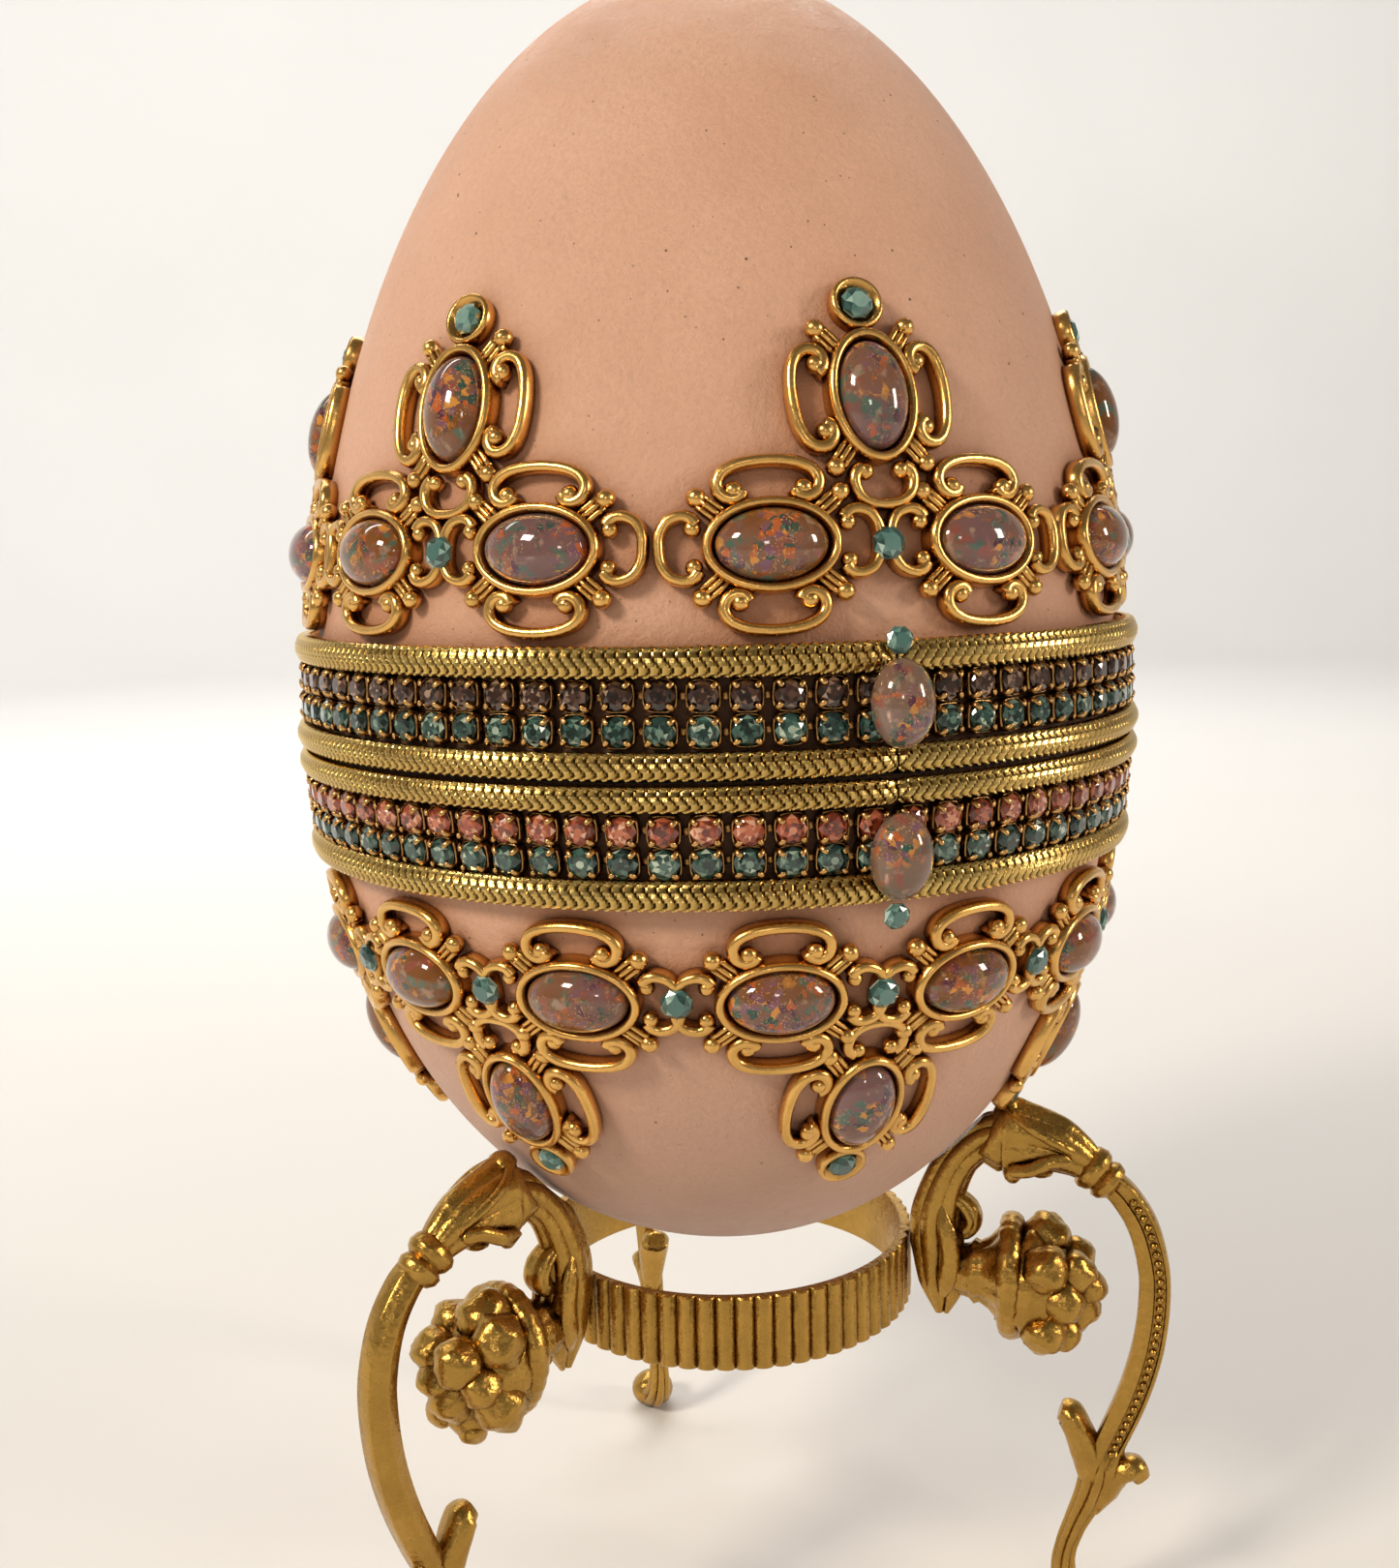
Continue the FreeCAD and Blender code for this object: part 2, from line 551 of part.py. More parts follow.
save("stand_ring", reeded_ring())
one_leg = leg()
one_cornucopia = cornucopia()
for side, angle in LEG_ANGLES.items():
    spin = Placement(Vector(0, 0, 0), Rotation(Vector(0, 0, 1), angle))
    save("leg_" + side, placed(one_leg, spin))
    save("cornucopia_" + side, placed(one_cornucopia, spin))
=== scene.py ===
"""Looks of the hinged jewelled egg on its three-legged stand."""

import math
import random

import bpy
import numpy as np
from mathutils import Matrix, Vector


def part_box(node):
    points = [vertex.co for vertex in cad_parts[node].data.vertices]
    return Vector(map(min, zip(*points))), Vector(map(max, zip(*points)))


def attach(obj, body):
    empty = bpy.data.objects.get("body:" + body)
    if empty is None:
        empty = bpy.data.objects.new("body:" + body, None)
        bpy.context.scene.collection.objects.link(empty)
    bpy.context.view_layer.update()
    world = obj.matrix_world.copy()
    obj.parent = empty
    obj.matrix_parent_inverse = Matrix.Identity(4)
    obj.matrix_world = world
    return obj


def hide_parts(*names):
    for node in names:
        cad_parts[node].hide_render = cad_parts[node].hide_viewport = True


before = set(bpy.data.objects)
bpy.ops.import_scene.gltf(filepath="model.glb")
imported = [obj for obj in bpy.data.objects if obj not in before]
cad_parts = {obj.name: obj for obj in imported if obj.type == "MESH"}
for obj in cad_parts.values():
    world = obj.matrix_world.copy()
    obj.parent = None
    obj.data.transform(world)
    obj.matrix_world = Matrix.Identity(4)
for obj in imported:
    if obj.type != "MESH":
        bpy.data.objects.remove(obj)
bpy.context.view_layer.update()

MM = 0.001
SEED = 7

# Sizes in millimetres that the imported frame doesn't spell out.
SEAM_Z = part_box("lid_shell")[0].z / MM - 0.15
EGG_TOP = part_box("lid_shell")[1].z / MM - SEAM_Z
EGG_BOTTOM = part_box("base_shell")[0].z / MM - SEAM_Z
EGG_MIDDLE = (EGG_TOP + EGG_BOTTOM) / 2.0
EGG_HALF_LENGTH = (EGG_TOP - EGG_BOTTOM) / 2.0
EGG_WAIST = 28.77
EGG_TAPER = 0.107
EGG_FULLNESS = 0.038
SHELL_WALL = 1.1
SMALLEST_RING = 0.4      # a shell's inside closes with a point within this radius
SEAM_GAP = 0.3
GLUE = 0.05

CLASP_ANGLE = -90.0
TRIM_BUTT = 0.12
TRIM_REACH = 168.5
LOWER_SHADE_LEVELS = (-38.0, -12.0)   # levels between which the base's painted shade fades out towards the seam
HINGE_ZONE = 28.1        # how far back the shell is bare of trims
TRIM_BAND = 6.6          # the shell is darkened up to this level either side of the seam, as adhesive staining and painted shade under the trims
MOTIFS = 7


def middle_level(node):
    """Level of a CAD node's middle above the seam, in millimetres."""
    low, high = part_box(node)
    return (low.z + high.z) / 2.0 / MM - SEAM_Z


# ---- plain geometry
def full_turn(count):
    """Angles evenly spaced around a circle."""
    return np.linspace(0.0, 2.0 * math.pi, count, endpoint=False)


def polar(reach, angle, height):
    """Points from their distance out, their angle around and their height."""
    return np.stack(np.broadcast_arrays(reach * np.cos(angle), reach * np.sin(angle), height), axis=-1)


def fan(pole, start, sides, outwards=True):
    """Triangles between a pole and a closed ring of vertices."""
    faces = [[pole, start + index, start + (index + 1) % sides] for index in range(sides)]
    return faces if outwards else [face[::-1] for face in faces]


# ---- egg surface
def egg_radius(level):
    """Outside radius of the egg at levels measured from the seam."""
    share = (np.asarray(level, float) - EGG_MIDDLE) / EGG_HALF_LENGTH
    oval = np.sqrt(np.clip(1.0 - share * share, 0.0, 1.0))
    return EGG_WAIST * oval * (1.0 - EGG_TAPER * share + EGG_FULLNESS * share * share)


LEVELS = EGG_MIDDLE - EGG_HALF_LENGTH * np.cos(np.linspace(0.0, math.pi, 721))
RADII = egg_radius(LEVELS)
ARCS = np.concatenate([[0.0], np.cumsum(np.hypot(np.diff(RADII), np.diff(LEVELS)))])
LEANS = np.arctan2(-np.gradient(RADII, ARCS), np.gradient(LEVELS, ARCS))


def wrap(points, angle, level):
    """Bend flat points (around, up, out) onto the egg at an angle and level."""
    points = np.asarray(points, float)
    start = np.interp(level, LEVELS, ARCS)
    arc = start + points[:, 1]
    levels = np.interp(arc, ARCS, LEVELS)
    radii = np.interp(arc, ARCS, RADII)
    leans = np.interp(arc, ARCS, LEANS)
    around = math.radians(angle) + points[:, 0] / np.maximum(radii, 1.0)
    reach = radii + points[:, 2] * np.cos(leans)
    height = SEAM_Z + levels + points[:, 2] * np.sin(leans)
    return polar(reach, around, height)


def turned(points, degrees):
    """Turn flat points about the out axis."""
    cos, sin = math.cos(math.radians(degrees)), math.sin(math.radians(degrees))
    points = np.asarray(points, float)
    return np.stack([points[:, 0] * cos - points[:, 1] * sin,
                     points[:, 0] * sin + points[:, 1] * cos, points[:, 2]], axis=1)


# ---- mesh building
def grid(rows, columns, close_rows=False, close_columns=False):
    """Quads over a grid of vertices, row after row."""
    last_row = rows if close_rows else rows - 1
    last_column = columns if close_columns else columns - 1
    row, column = np.meshgrid(np.arange(last_row), np.arange(last_column), indexing="ij")
    next_row, next_column = (row + 1) % rows, (column + 1) % columns
    return np.stack([row * columns + column, row * columns + next_column,
                     next_row * columns + next_column, next_row * columns + column],
                    axis=-1).reshape(-1, 4)


def joined(parts):
    """One (vertices, faces) pair from many."""
    vertices, faces, offset = [], [], 0
    for points, polygons in parts:
        vertices.append(np.asarray(points, float))
        faces.extend([[index + offset for index in polygon] for polygon in polygons])
        offset += len(points)
    return np.concatenate(vertices), faces


def mirrored(part, axis):
    """A part reflected across one flat axis, with its faces turned back outwards."""
    points = np.array(part[0], float)
    points[:, axis] *= -1.0
    return points, [list(polygon)[::-1] for polygon in part[1]]


def repeated(part, places):
    """Copies of a part, each moved by its own function of the vertices."""
    return joined([(place(part[0]), part[1]) for place in places])


def smooth_path(points, steps=6):
    """Catmull-Rom curve through given points."""
    points = np.asarray(points, float)
    padded = np.vstack([2 * points[0] - points[1], points, 2 * points[-1] - points[-2]])
    result = []
    for index in range(1, len(padded) - 2):
        before, start, end, after = padded[index - 1:index + 3]
        for step in range(steps):
            t = step / steps
            result.append(0.5 * (2 * start + (end - before) * t
                                 + (2 * before - 5 * start + 4 * end - after) * t * t
                                 + (3 * start - before - 3 * end + after) * t ** 3))
    result.append(points[-1])
    return np.array(result)


def superoval(radius, sides, power):
    """Flat ring between a circle (power 1) and a square (small power)."""
    turn = full_turn(sides)
    across = np.sign(np.cos(turn)) * np.abs(np.cos(turn)) ** power
    upward = np.sign(np.sin(turn)) * np.abs(np.sin(turn)) ** power
    return np.stack([across, upward], axis=1) * radius


def sweep(path, widths, heights, up, sides=10, power=1.0, outline=None):
    """Tube along a path; its section is an outline whose second axis points along `up`."""
    if outline is None:
        outline = superoval(1.0, sides, power)
    sides = len(outline)
    path = np.asarray(path, float)
    count = len(path)
    along = np.gradient(path, axis=0)
    along /= np.linalg.norm(along, axis=1)[:, None]
    up = np.broadcast_to(np.asarray(up, float), path.shape)
    side = np.cross(along, up)
    side /= np.linalg.norm(side, axis=1)[:, None]
    lift = np.cross(side, along)
    across, upward = outline[:, 0], outline[:, 1]
    widths = np.broadcast_to(np.asarray(widths, float), (count,))
    heights = np.broadcast_to(np.asarray(heights, float), (count,))
    points = (path[:, None, :] + side[:, None, :] * (widths[:, None] * across)[:, :, None]
              + lift[:, None, :] * (heights[:, None] * upward)[:, :, None]).reshape(-1, 3)
    faces = grid(count, sides, close_columns=True)[:, ::-1].tolist()
    points = np.vstack([points, path[0], path[-1]])
    faces += fan(count * sides, 0, sides) + fan(count * sides + 1, (count - 1) * sides, sides, False)
    return points, faces


def ball(centre, radius, rings=6, sides=12, stretch=(1.0, 1.0, 1.0)):
    """Small round bead of rings of vertices between two poles."""
    latitudes = np.linspace(-0.5 * math.pi, 0.5 * math.pi, rings + 1)[1:-1]
    turn = full_turn(sides)
    points = [[math.cos(lat) * math.cos(t), math.cos(lat) * math.sin(t), math.sin(lat)]
              for lat in latitudes for t in turn]
    points += [[0.0, 0.0, -1.0], [0.0, 0.0, 1.0]]
    points = np.array(points) * radius * np.asarray(stretch) + np.asarray(centre, float)
    south = (rings - 1) * sides
    faces = grid(rings - 1, sides, close_columns=True).tolist()
    return points, faces + fan(south, 0, sides, False) + fan(south + 1, south - sides, sides)


def lathe(profile, sides, width=1.0, height=1.0):
    """Turned shape about the out axis, from (radius, out) pairs, stretched to an oval."""
    radius, out = np.array(profile, float).T[:, :, None]
    points = polar(radius, full_turn(sides), out).reshape(-1, 3) * [width, height, 1.0]
    return points, grid(len(profile), sides, close_columns=True).tolist()


def placed(name, data):
    """A new object in the scene."""
    thing = bpy.data.objects.new(name, data)
    bpy.context.scene.collection.objects.link(thing)
    return thing


def new_piece(name, part, body, node, slot, material, smooth=True, crease=None, values=None, tones=None):
    """Make one visible piece from millimetre vertices and tie it to the frame."""
    vertices, faces = part
    mesh = bpy.data.meshes.new(name)
    mesh.from_pydata((np.asarray(vertices) * MM).tolist(), [], [list(face) for face in faces])
    mesh.update()
    mesh.polygons.foreach_set("use_smooth", [smooth] * len(mesh.polygons))
    mesh.materials.append(material)
    if crease is not None:
        mesh.set_sharp_from_angle(angle=math.radians(crease))
    if tones is not None:
        layer = mesh.attributes.new("tone", "FLOAT", "FACE")
        layer.data.foreach_set("value", np.asarray(tones, np.float32))
    if values is not None:
        layer = mesh.attributes.new("relief", "FLOAT", "POINT")
        layer.data.foreach_set("value", np.asarray(values, np.float32))
    piece = placed(name, mesh)
    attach(piece, body)
    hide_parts(node)


# ---- materials
class Look:
    """One procedural material, in millimetres of the object's own space."""

    def __init__(self, name, color, roughness, metallic=0.0):
        self.material = bpy.data.materials.new(name)
        self.material.use_nodes = True
        self.material.diffuse_color = (*color, 1.0)
        self.tree = self.material.node_tree
        self.shader = self.tree.nodes["Principled BSDF"]
        self.shader.inputs["Base Color"].default_value = (*color, 1.0)
        self.shader.inputs["Roughness"].default_value = roughness
        self.shader.inputs["Metallic"].default_value = metallic
        place = self.add("ShaderNodeTexCoord")
        self.space = self.add("ShaderNodeMapping")
        self.space.inputs["Scale"].default_value = (1.0 / MM,) * 3
        self.join(place.outputs["Object"], self.space.inputs["Vector"])

    def add(self, kind, **settings):
        node = self.tree.nodes.new(kind)
        for key, value in settings.items():
            setattr(node, key, value)
        return node

    def join(self, source, target):
        self.tree.links.new(source, target)

    def set(self, **values):
        """Constant values on the shader's own sockets, underscores standing for spaces."""
        for key, value in values.items():
            self.shader.inputs[key.replace("_", " ")].default_value = value

    def stretched(self, scale):
        """The millimetre space, stretched by a factor along each axis."""
        mapping = self.add("ShaderNodeMapping")
        mapping.inputs["Scale"].default_value = scale
        self.join(self.space.outputs["Vector"], mapping.inputs["Vector"])
        return mapping.outputs["Vector"]

    def noise(self, scale, detail=3.0, roughness=0.55, vector=None):
        texture = self.add("ShaderNodeTexNoise")
        texture.inputs["Scale"].default_value = scale
        texture.inputs["Detail"].default_value = detail
        texture.inputs["Roughness"].default_value = roughness
        self.join(vector or self.space.outputs["Vector"], texture.inputs["Vector"])
        return texture.outputs["Fac"]

    def cells(self, scale, output="Distance", feature="F1", vector=None):
        texture = self.add("ShaderNodeTexVoronoi", feature=feature)
        texture.inputs["Scale"].default_value = scale
        self.join(vector or self.space.outputs["Vector"], texture.inputs["Vector"])
        return texture.outputs[output]

    def ramp(self, value, stops, constant=False):
        """Colour ramp from (place, colour) stops."""
        ramp = self.add("ShaderNodeValToRGB")
        if constant:
            ramp.color_ramp.interpolation = "CONSTANT"
        elements = ramp.color_ramp.elements
        while len(elements) < len(stops):
            elements.new(0.5)
        for element, (place, color) in zip(elements, stops):
            element.position = place
            element.color = (*color, 1.0) if len(color) == 3 else color
        self.join(value, ramp.inputs["Fac"])
        return ramp.outputs["Color"]

    def levels(self, value, low, high, start=0.0, end=1.0):
        """Map a range of a value to another range, clamped."""
        node = self.add("ShaderNodeMapRange")
        for key, number in (("From Min", low), ("From Max", high), ("To Min", start), ("To Max", end)):
            node.inputs[key].default_value = number
        self.join(value, node.inputs["Value"])
        return node.outputs["Result"]

    def mix(self, factor, first, second, mode="MIX"):
        """Mix two colours; each may be a socket or a plain colour."""
        node = self.add("ShaderNodeMix", data_type="RGBA", blend_type=mode)
        for key, item in ((0, factor), (6, first), (7, second)):
            if isinstance(item, bpy.types.NodeSocket):
                self.join(item, node.inputs[key])
            else:
                node.inputs[key].default_value = item if key == 0 else (*item, 1.0)
        return node.outputs[2]

    def math(self, operation, first, second=0.0):
        node = self.add("ShaderNodeMath", operation=operation)
        for index, item in enumerate((first, second)):
            if isinstance(item, bpy.types.NodeSocket):
                self.join(item, node.inputs[index])
            else:
                node.inputs[index].default_value = item
        return node.outputs[0]

    def stored(self, name):
        """A value that the mesh stores at each of its vertices or faces."""
        return self.add("ShaderNodeAttribute", attribute_name=name).outputs["Fac"]

    def hollows(self, distance):
        """How enclosed a point is: 1 in the open, 0 in a tight corner."""
        node = self.add("ShaderNodeAmbientOcclusion", samples=4)
        node.inputs["Distance"].default_value = distance * MM
        return node.outputs["AO"]

    def color(self, socket):
        self.join(socket, self.shader.inputs["Base Color"])

    def roughness(self, socket):
        self.join(socket, self.shader.inputs["Roughness"])

    def bump(self, height, distance, strength=1.0, under=None):
        """Bump of a depth in millimetres, laid over another bump if given."""
        node = self.add("ShaderNodeBump")
        node.inputs["Distance"].default_value = distance * MM
        node.inputs["Strength"].default_value = strength
        self.join(height, node.inputs["Height"])
        if under is not None:
            self.join(under, node.inputs["Normal"])
        self.join(node.outputs["Normal"], self.shader.inputs["Normal"])
        return node.outputs["Normal"]


def shell_look(name):
    """Matte pink-peach paint outside, plain eggshell inside, with specks and faint dirt, and painted shade
    in crevices, towards the bottom and beside the seam, where it mixes with adhesive staining.
    """
    look = Look(name, (0.76, 0.44, 0.31), 0.62)
    base = look.ramp(look.noise(0.09, 4.0), [(0.3, (0.70, 0.40, 0.275)), (0.7, (0.79, 0.475, 0.335))])
    grain = look.noise(3.2, 3.0)
    base = look.mix(look.levels(grain, 0.35, 0.7, 0.0, 0.35), base, (0.58, 0.33, 0.225))
    for scale, size in ((0.62, 0.075), (1.15, 0.085)):
        specks = look.levels(look.cells(scale), 0.6 * size, size, 1.0, 0.0)
        sparse = look.levels(look.noise(0.35 * scale, 2.0), 0.5, 0.56)
        base = look.mix(look.math("MULTIPLY", specks, sparse), base, (0.12, 0.07, 0.045))
    dust = look.math("MULTIPLY", look.levels(look.noise(1.1, 8.0, 0.7), 0.56, 0.75),
                     look.levels(look.noise(0.12, 3.0), 0.5, 0.68))
    base = look.mix(look.math("MULTIPLY", dust, 0.5), base, (0.36, 0.25, 0.17))
    # painted shade: the shell is darker where trims enclose it
    crevice_shade = look.levels(look.hollows(2.2), 0.35, 0.98, 0.85, 0.0)
    base = look.mix(crevice_shade, base, (0.40, 0.17, 0.075))
    split = look.add("ShaderNodeSeparateXYZ")
    look.join(look.space.outputs["Vector"], split.inputs[0])
    # painted shade: the base is darker and greyer towards the bottom
    lower_shade = look.levels(split.outputs[2], SEAM_Z + LOWER_SHADE_LEVELS[0], SEAM_Z + LOWER_SHADE_LEVELS[1], 0.75, 0.0)
    base = look.mix(lower_shade, base, (0.46, 0.305, 0.25))
    # adhesive staining and painted shade under the trims: a dark ragged band either side of the seam, bare
    # at the hinge
    level = look.math("ABSOLUTE", look.math("SUBTRACT", split.outputs[2], SEAM_Z))
    ragged = look.math("ADD", level, look.levels(look.noise(0.8, 4.0), 0.3, 0.7, -0.4, 0.4))
    stain_and_shade = look.math("MULTIPLY", look.levels(ragged, TRIM_BAND - 0.3, TRIM_BAND, 1.0, 0.0),
                      look.levels(split.outputs[1], HINGE_ZONE, HINGE_ZONE + 0.4, 1.0, 0.0))
    base = look.mix(stain_and_shade, base, (0.10, 0.045, 0.02))
    look.color(look.mix(look.stored("relief"), base, (0.78, 0.72, 0.62)))
    look.roughness(look.levels(look.noise(0.5, 4.0), 0.3, 0.75, 0.4, 0.62))
    look.set(Specular_IOR_Level=0.42, Sheen_Weight=0.06, Sheen_Roughness=0.4)
    fine = look.bump(look.noise(1.6, 6.0, 0.7), 0.24, 0.9)
    look.bump(look.noise(9.0, 2.0), 0.015, 0.6, fine)
    return look.material


def plated_look(name, bright, recess_shade, roughness, hollow=0.8, wear=0.5, ripple=0.05):
    """Plated metal with painted shade in its recesses, and soft casting ripples."""
    look = Look(name, bright, roughness, 1.0)
    patch = look.noise(0.45, 4.0)
    tone = look.mix(look.levels(patch, 0.35, 0.7), bright, tuple(0.82 * c for c in bright))
    # painted shade: the metal's colour goes dark where it is enclosed
    open_air = look.levels(look.hollows(hollow), 0.25, 0.85)
    tone = look.mix(open_air, recess_shade, tone)
    look.color(tone)
    rough = look.levels(look.noise(1.8, 5.0, 0.65), 0.3, 0.75, roughness, roughness + 0.16 * wear)
    look.roughness(rough)
    soft = look.bump(look.noise(1.3, 3.0), ripple, 0.5)
    look.bump(look.noise(7.0, 4.0, 0.7), 0.015, 0.7 * wear, soft)
    return look.material


def braid_look():
    """Flat metallic thread, with a painted highlight on the ribs and painted shade between them."""
    look = Look("braid_thread", (0.52, 0.37, 0.10), 0.26, 1.0)
    # painted highlight on the rib tops and painted shade in the gaps, from the stored rib height
    thread = look.ramp(look.stored("relief"), [(0.0, (0.012, 0.007, 0.002)), (0.32, (0.10, 0.06, 0.015)),
                                       (0.5, (0.52, 0.34, 0.09)), (0.88, (1.0, 0.74, 0.28))])
    tint = look.mix(look.levels(look.noise(0.11, 3.0), 0.4, 0.65), thread, (0.45, 0.26, 0.08))
    look.color(look.mix(0.3, thread, tint))
    look.roughness(look.levels(look.noise(2.2, 4.0), 0.3, 0.7, 0.14, 0.28))
    look.bump(look.noise(6.0, 3.0), 0.03, 0.5)
    return look.material


def gem_look(name, dark, body, light, painted_spark):
    """Faceted glass: every facet has its own tone of painted reflection, standing for the light that its
    foiled back throws about.
    """
    look = Look(name, body, 0.04)
    # painted reflections and glints: each facet's stored tone picks a colour from dark to glint
    facet = look.ramp(look.stored("tone"), [(0.08, dark), (0.42, body), (0.72, light), (0.95, painted_spark)])
    cloud = look.levels(look.noise(1.6, 3.0), 0.35, 0.7, 0.0, 0.3)
    look.color(look.mix(cloud, facet, body))
    look.roughness(look.levels(look.noise(2.8, 3.0), 0.4, 0.75, 0.02, 0.12))
    look.set(Transmission_Weight=0.2, IOR=1.55, Coat_Weight=0.7, Coat_Roughness=0.02)
    return look.material


def opal_look(name, amber, rose, smoke, haze):
    """Clear glass over crumpled foil: teal, orange, purple and gold flecks with painted glints, and painted
    shade near the rim.
    """
    look = Look(name, rose, 0.08)
    glass = look.ramp(look.noise(0.085, 2.0), [(0.42, amber), (0.5, rose), (0.58, smoke)])
    for scale, low, color in ((0.75, 0.57, (0.05, 0.22, 0.17)), (0.95, 0.6, (0.55, 0.38, 0.27)),
                              (0.62, 0.6, (0.42, 0.10, 0.07))):
        patch = look.levels(look.noise(scale, 2.0), low, low + 0.08, 0.0, 0.7)
        glass = look.mix(patch, glass, color)
    warp = look.add("ShaderNodeVectorMath", operation="ADD")
    look.join(look.space.outputs["Vector"], warp.inputs[0])
    swirl = look.add("ShaderNodeTexNoise")
    swirl.inputs["Scale"].default_value = 1.3
    look.join(look.space.outputs["Vector"], swirl.inputs["Vector"])
    look.join(swirl.outputs["Color"], warp.inputs[1])
    flake = look.cells(2.0, "Color", vector=warp.outputs[0])
    split = look.add("ShaderNodeSeparateColor")
    look.join(flake, split.inputs["Color"])
    hue = look.ramp(split.outputs[0], [(0.0, (0.005, 0.11, 0.085)), (0.2, (0.75, 0.16, 0.03)),
                                       (0.4, (0.12, 0.03, 0.08)), (0.58, (1.0, 0.42, 0.06)),
                                       (0.76, (0.28, 0.12, 0.20))], constant=True)
    foil = look.levels(look.noise(0.38, 4.0, 0.6), 0.46, 0.56)
    shown = look.levels(split.outputs[1], 0.35, 0.65, 0.0, 0.9)
    body = look.mix(look.math("MULTIPLY", shown, foil), glass, hue)
    # painted glints: small bright spots over the foil
    glint = look.levels(look.cells(5.2, "Distance", vector=warp.outputs[0]), 0.06, 0.34, 1.0, 0.0)
    body = look.mix(look.math("MULTIPLY", glint, foil), body, (1.0, 0.60, 0.22))
    veil = look.levels(look.noise(0.4, 4.0, 0.7), 0.5, 0.8, 0.0, 0.25)
    body = look.mix(veil, body, haze)
    # painted shade: the dome is darker towards its rim
    rim = look.levels(look.stored("relief"), 0.02, 0.4, 0.35, 0.0)
    look.color(look.mix(rim, body, tuple(0.6 * part for part in amber)))
    look.set(Transmission_Weight=0.35, Specular_IOR_Level=0.3, Coat_Weight=0.6, Coat_Roughness=0.02,
             IOR=1.5)
    look.bump(look.noise(1.2, 2.0), 0.02, 0.3)
    return look.material


SHELL = shell_look("painted_eggshell")
GOLD = plated_look("filigree_gold", (0.90, 0.53, 0.16), (0.26, 0.10, 0.02), 0.2, 1.2, 0.7)
CUP_GOLD = plated_look("cup_gold", (0.70, 0.41, 0.15), (0.07, 0.026, 0.010), 0.22)
STAND_GOLD = plated_look("stand_gold", (0.52, 0.305, 0.07), (0.19, 0.095, 0.02), 0.22, 1.3, 0.75, 0.24)
HINGE_GOLD = plated_look("hinge_brass", (0.60, 0.39, 0.12), (0.12, 0.06, 0.015), 0.24, 0.8, 1.0, 0.1)
BRAID = braid_look()
OPAL = opal_look("opal_glass", (0.28, 0.10, 0.018), (0.30, 0.14, 0.08), (0.25, 0.13, 0.13),
                 (0.42, 0.24, 0.15))
MILK_OPAL = opal_look("milk_opal_glass", (0.28, 0.165, 0.11), (0.31, 0.21, 0.18), (0.23, 0.19, 0.21),
                      (0.50, 0.40, 0.36))
TEAL = gem_look("teal_glass", (0.015, 0.05, 0.045), (0.07, 0.19, 0.17), (0.20, 0.38, 0.34),
                (0.66, 0.88, 0.80))
DEEP_TEAL = gem_look("deep_teal_glass", (0.003, 0.010, 0.008), (0.026, 0.078, 0.062),
                     (0.10, 0.22, 0.175), (0.66, 0.78, 0.62))
PURPLE = gem_look("smoky_purple_glass", (0.008, 0.004, 0.003), (0.052, 0.020, 0.010),
                  (0.14, 0.066, 0.042), (0.55, 0.37, 0.26))
ROSE = gem_look("rose_glass", (0.07, 0.010, 0.005), (0.42, 0.075, 0.026), (0.66, 0.20, 0.085),
                (1.0, 0.62, 0.42))


# ---- egg shells
def shell(side):
    """Thin dome with a rounded rim at the seam; side 1 is the lid, -1 the base."""
    tip = EGG_TOP if side > 0 else EGG_BOTTOM
    rim = side * SEAM_GAP / 2.0
    steps, sides = 120, 288
    arcs = np.linspace(np.interp(rim, LEVELS, ARCS), np.interp(tip, LEVELS, ARCS), steps)[:-1]
    outer, inner = [], []
    for arc in arcs:
        radius, level, lean = (float(np.interp(arc, ARCS, course)) for course in (RADII, LEVELS, LEANS))
        outer.append((radius, level))
        level -= SHELL_WALL * math.sin(lean)
        inner.append((radius - SHELL_WALL * math.cos(lean), side * max(side * level, side * rim)))
    inner = [point for point in inner if point[0] > SMALLEST_RING]
    section = outer[::-1] + inner
    inside = [0.0] * len(outer) + [1.0] * len(inner)
    values = np.append(np.repeat(inside, sides), [0.0, 1.0])
    points, faces = lathe([(radius, SEAM_Z + level) for radius, level in section], sides)
    points = np.vstack([points, [[0.0, 0.0, SEAM_Z + tip], [0.0, 0.0, SEAM_Z + tip - side * SHELL_WALL]]])
    top = len(points) - 2
    faces += fan(top, 0, sides, False) + fan(top + 1, (len(section) - 1) * sides, sides)
    if side < 0:
        faces = [face[::-1] for face in faces]
    return (points, [face[::-1] for face in faces]), values


for half, side, body in (("lid", 1.0, "lid"), ("base", -1.0, "egg_base")):
    part, values = shell(side)
    new_piece(half + "_painted_shell", part, body, half + "_shell", "egg_shell", SHELL,
              values=values)


# ---- braids
BRAID_DEPTH = 0.8        # half the braid's thickness out from the shell
RIB_PITCH = 0.66
BRAID_COLUMNS = 6
BRAID_SQUARENESS = 0.82     # 1 would be an ellipse
RIB_DEPTH = 0.22
RIB_ROWS = 8
COLUMN_POINTS = 5
SEAM_LEAN = 0.07        # the braids beside the seam lean towards each other by this much


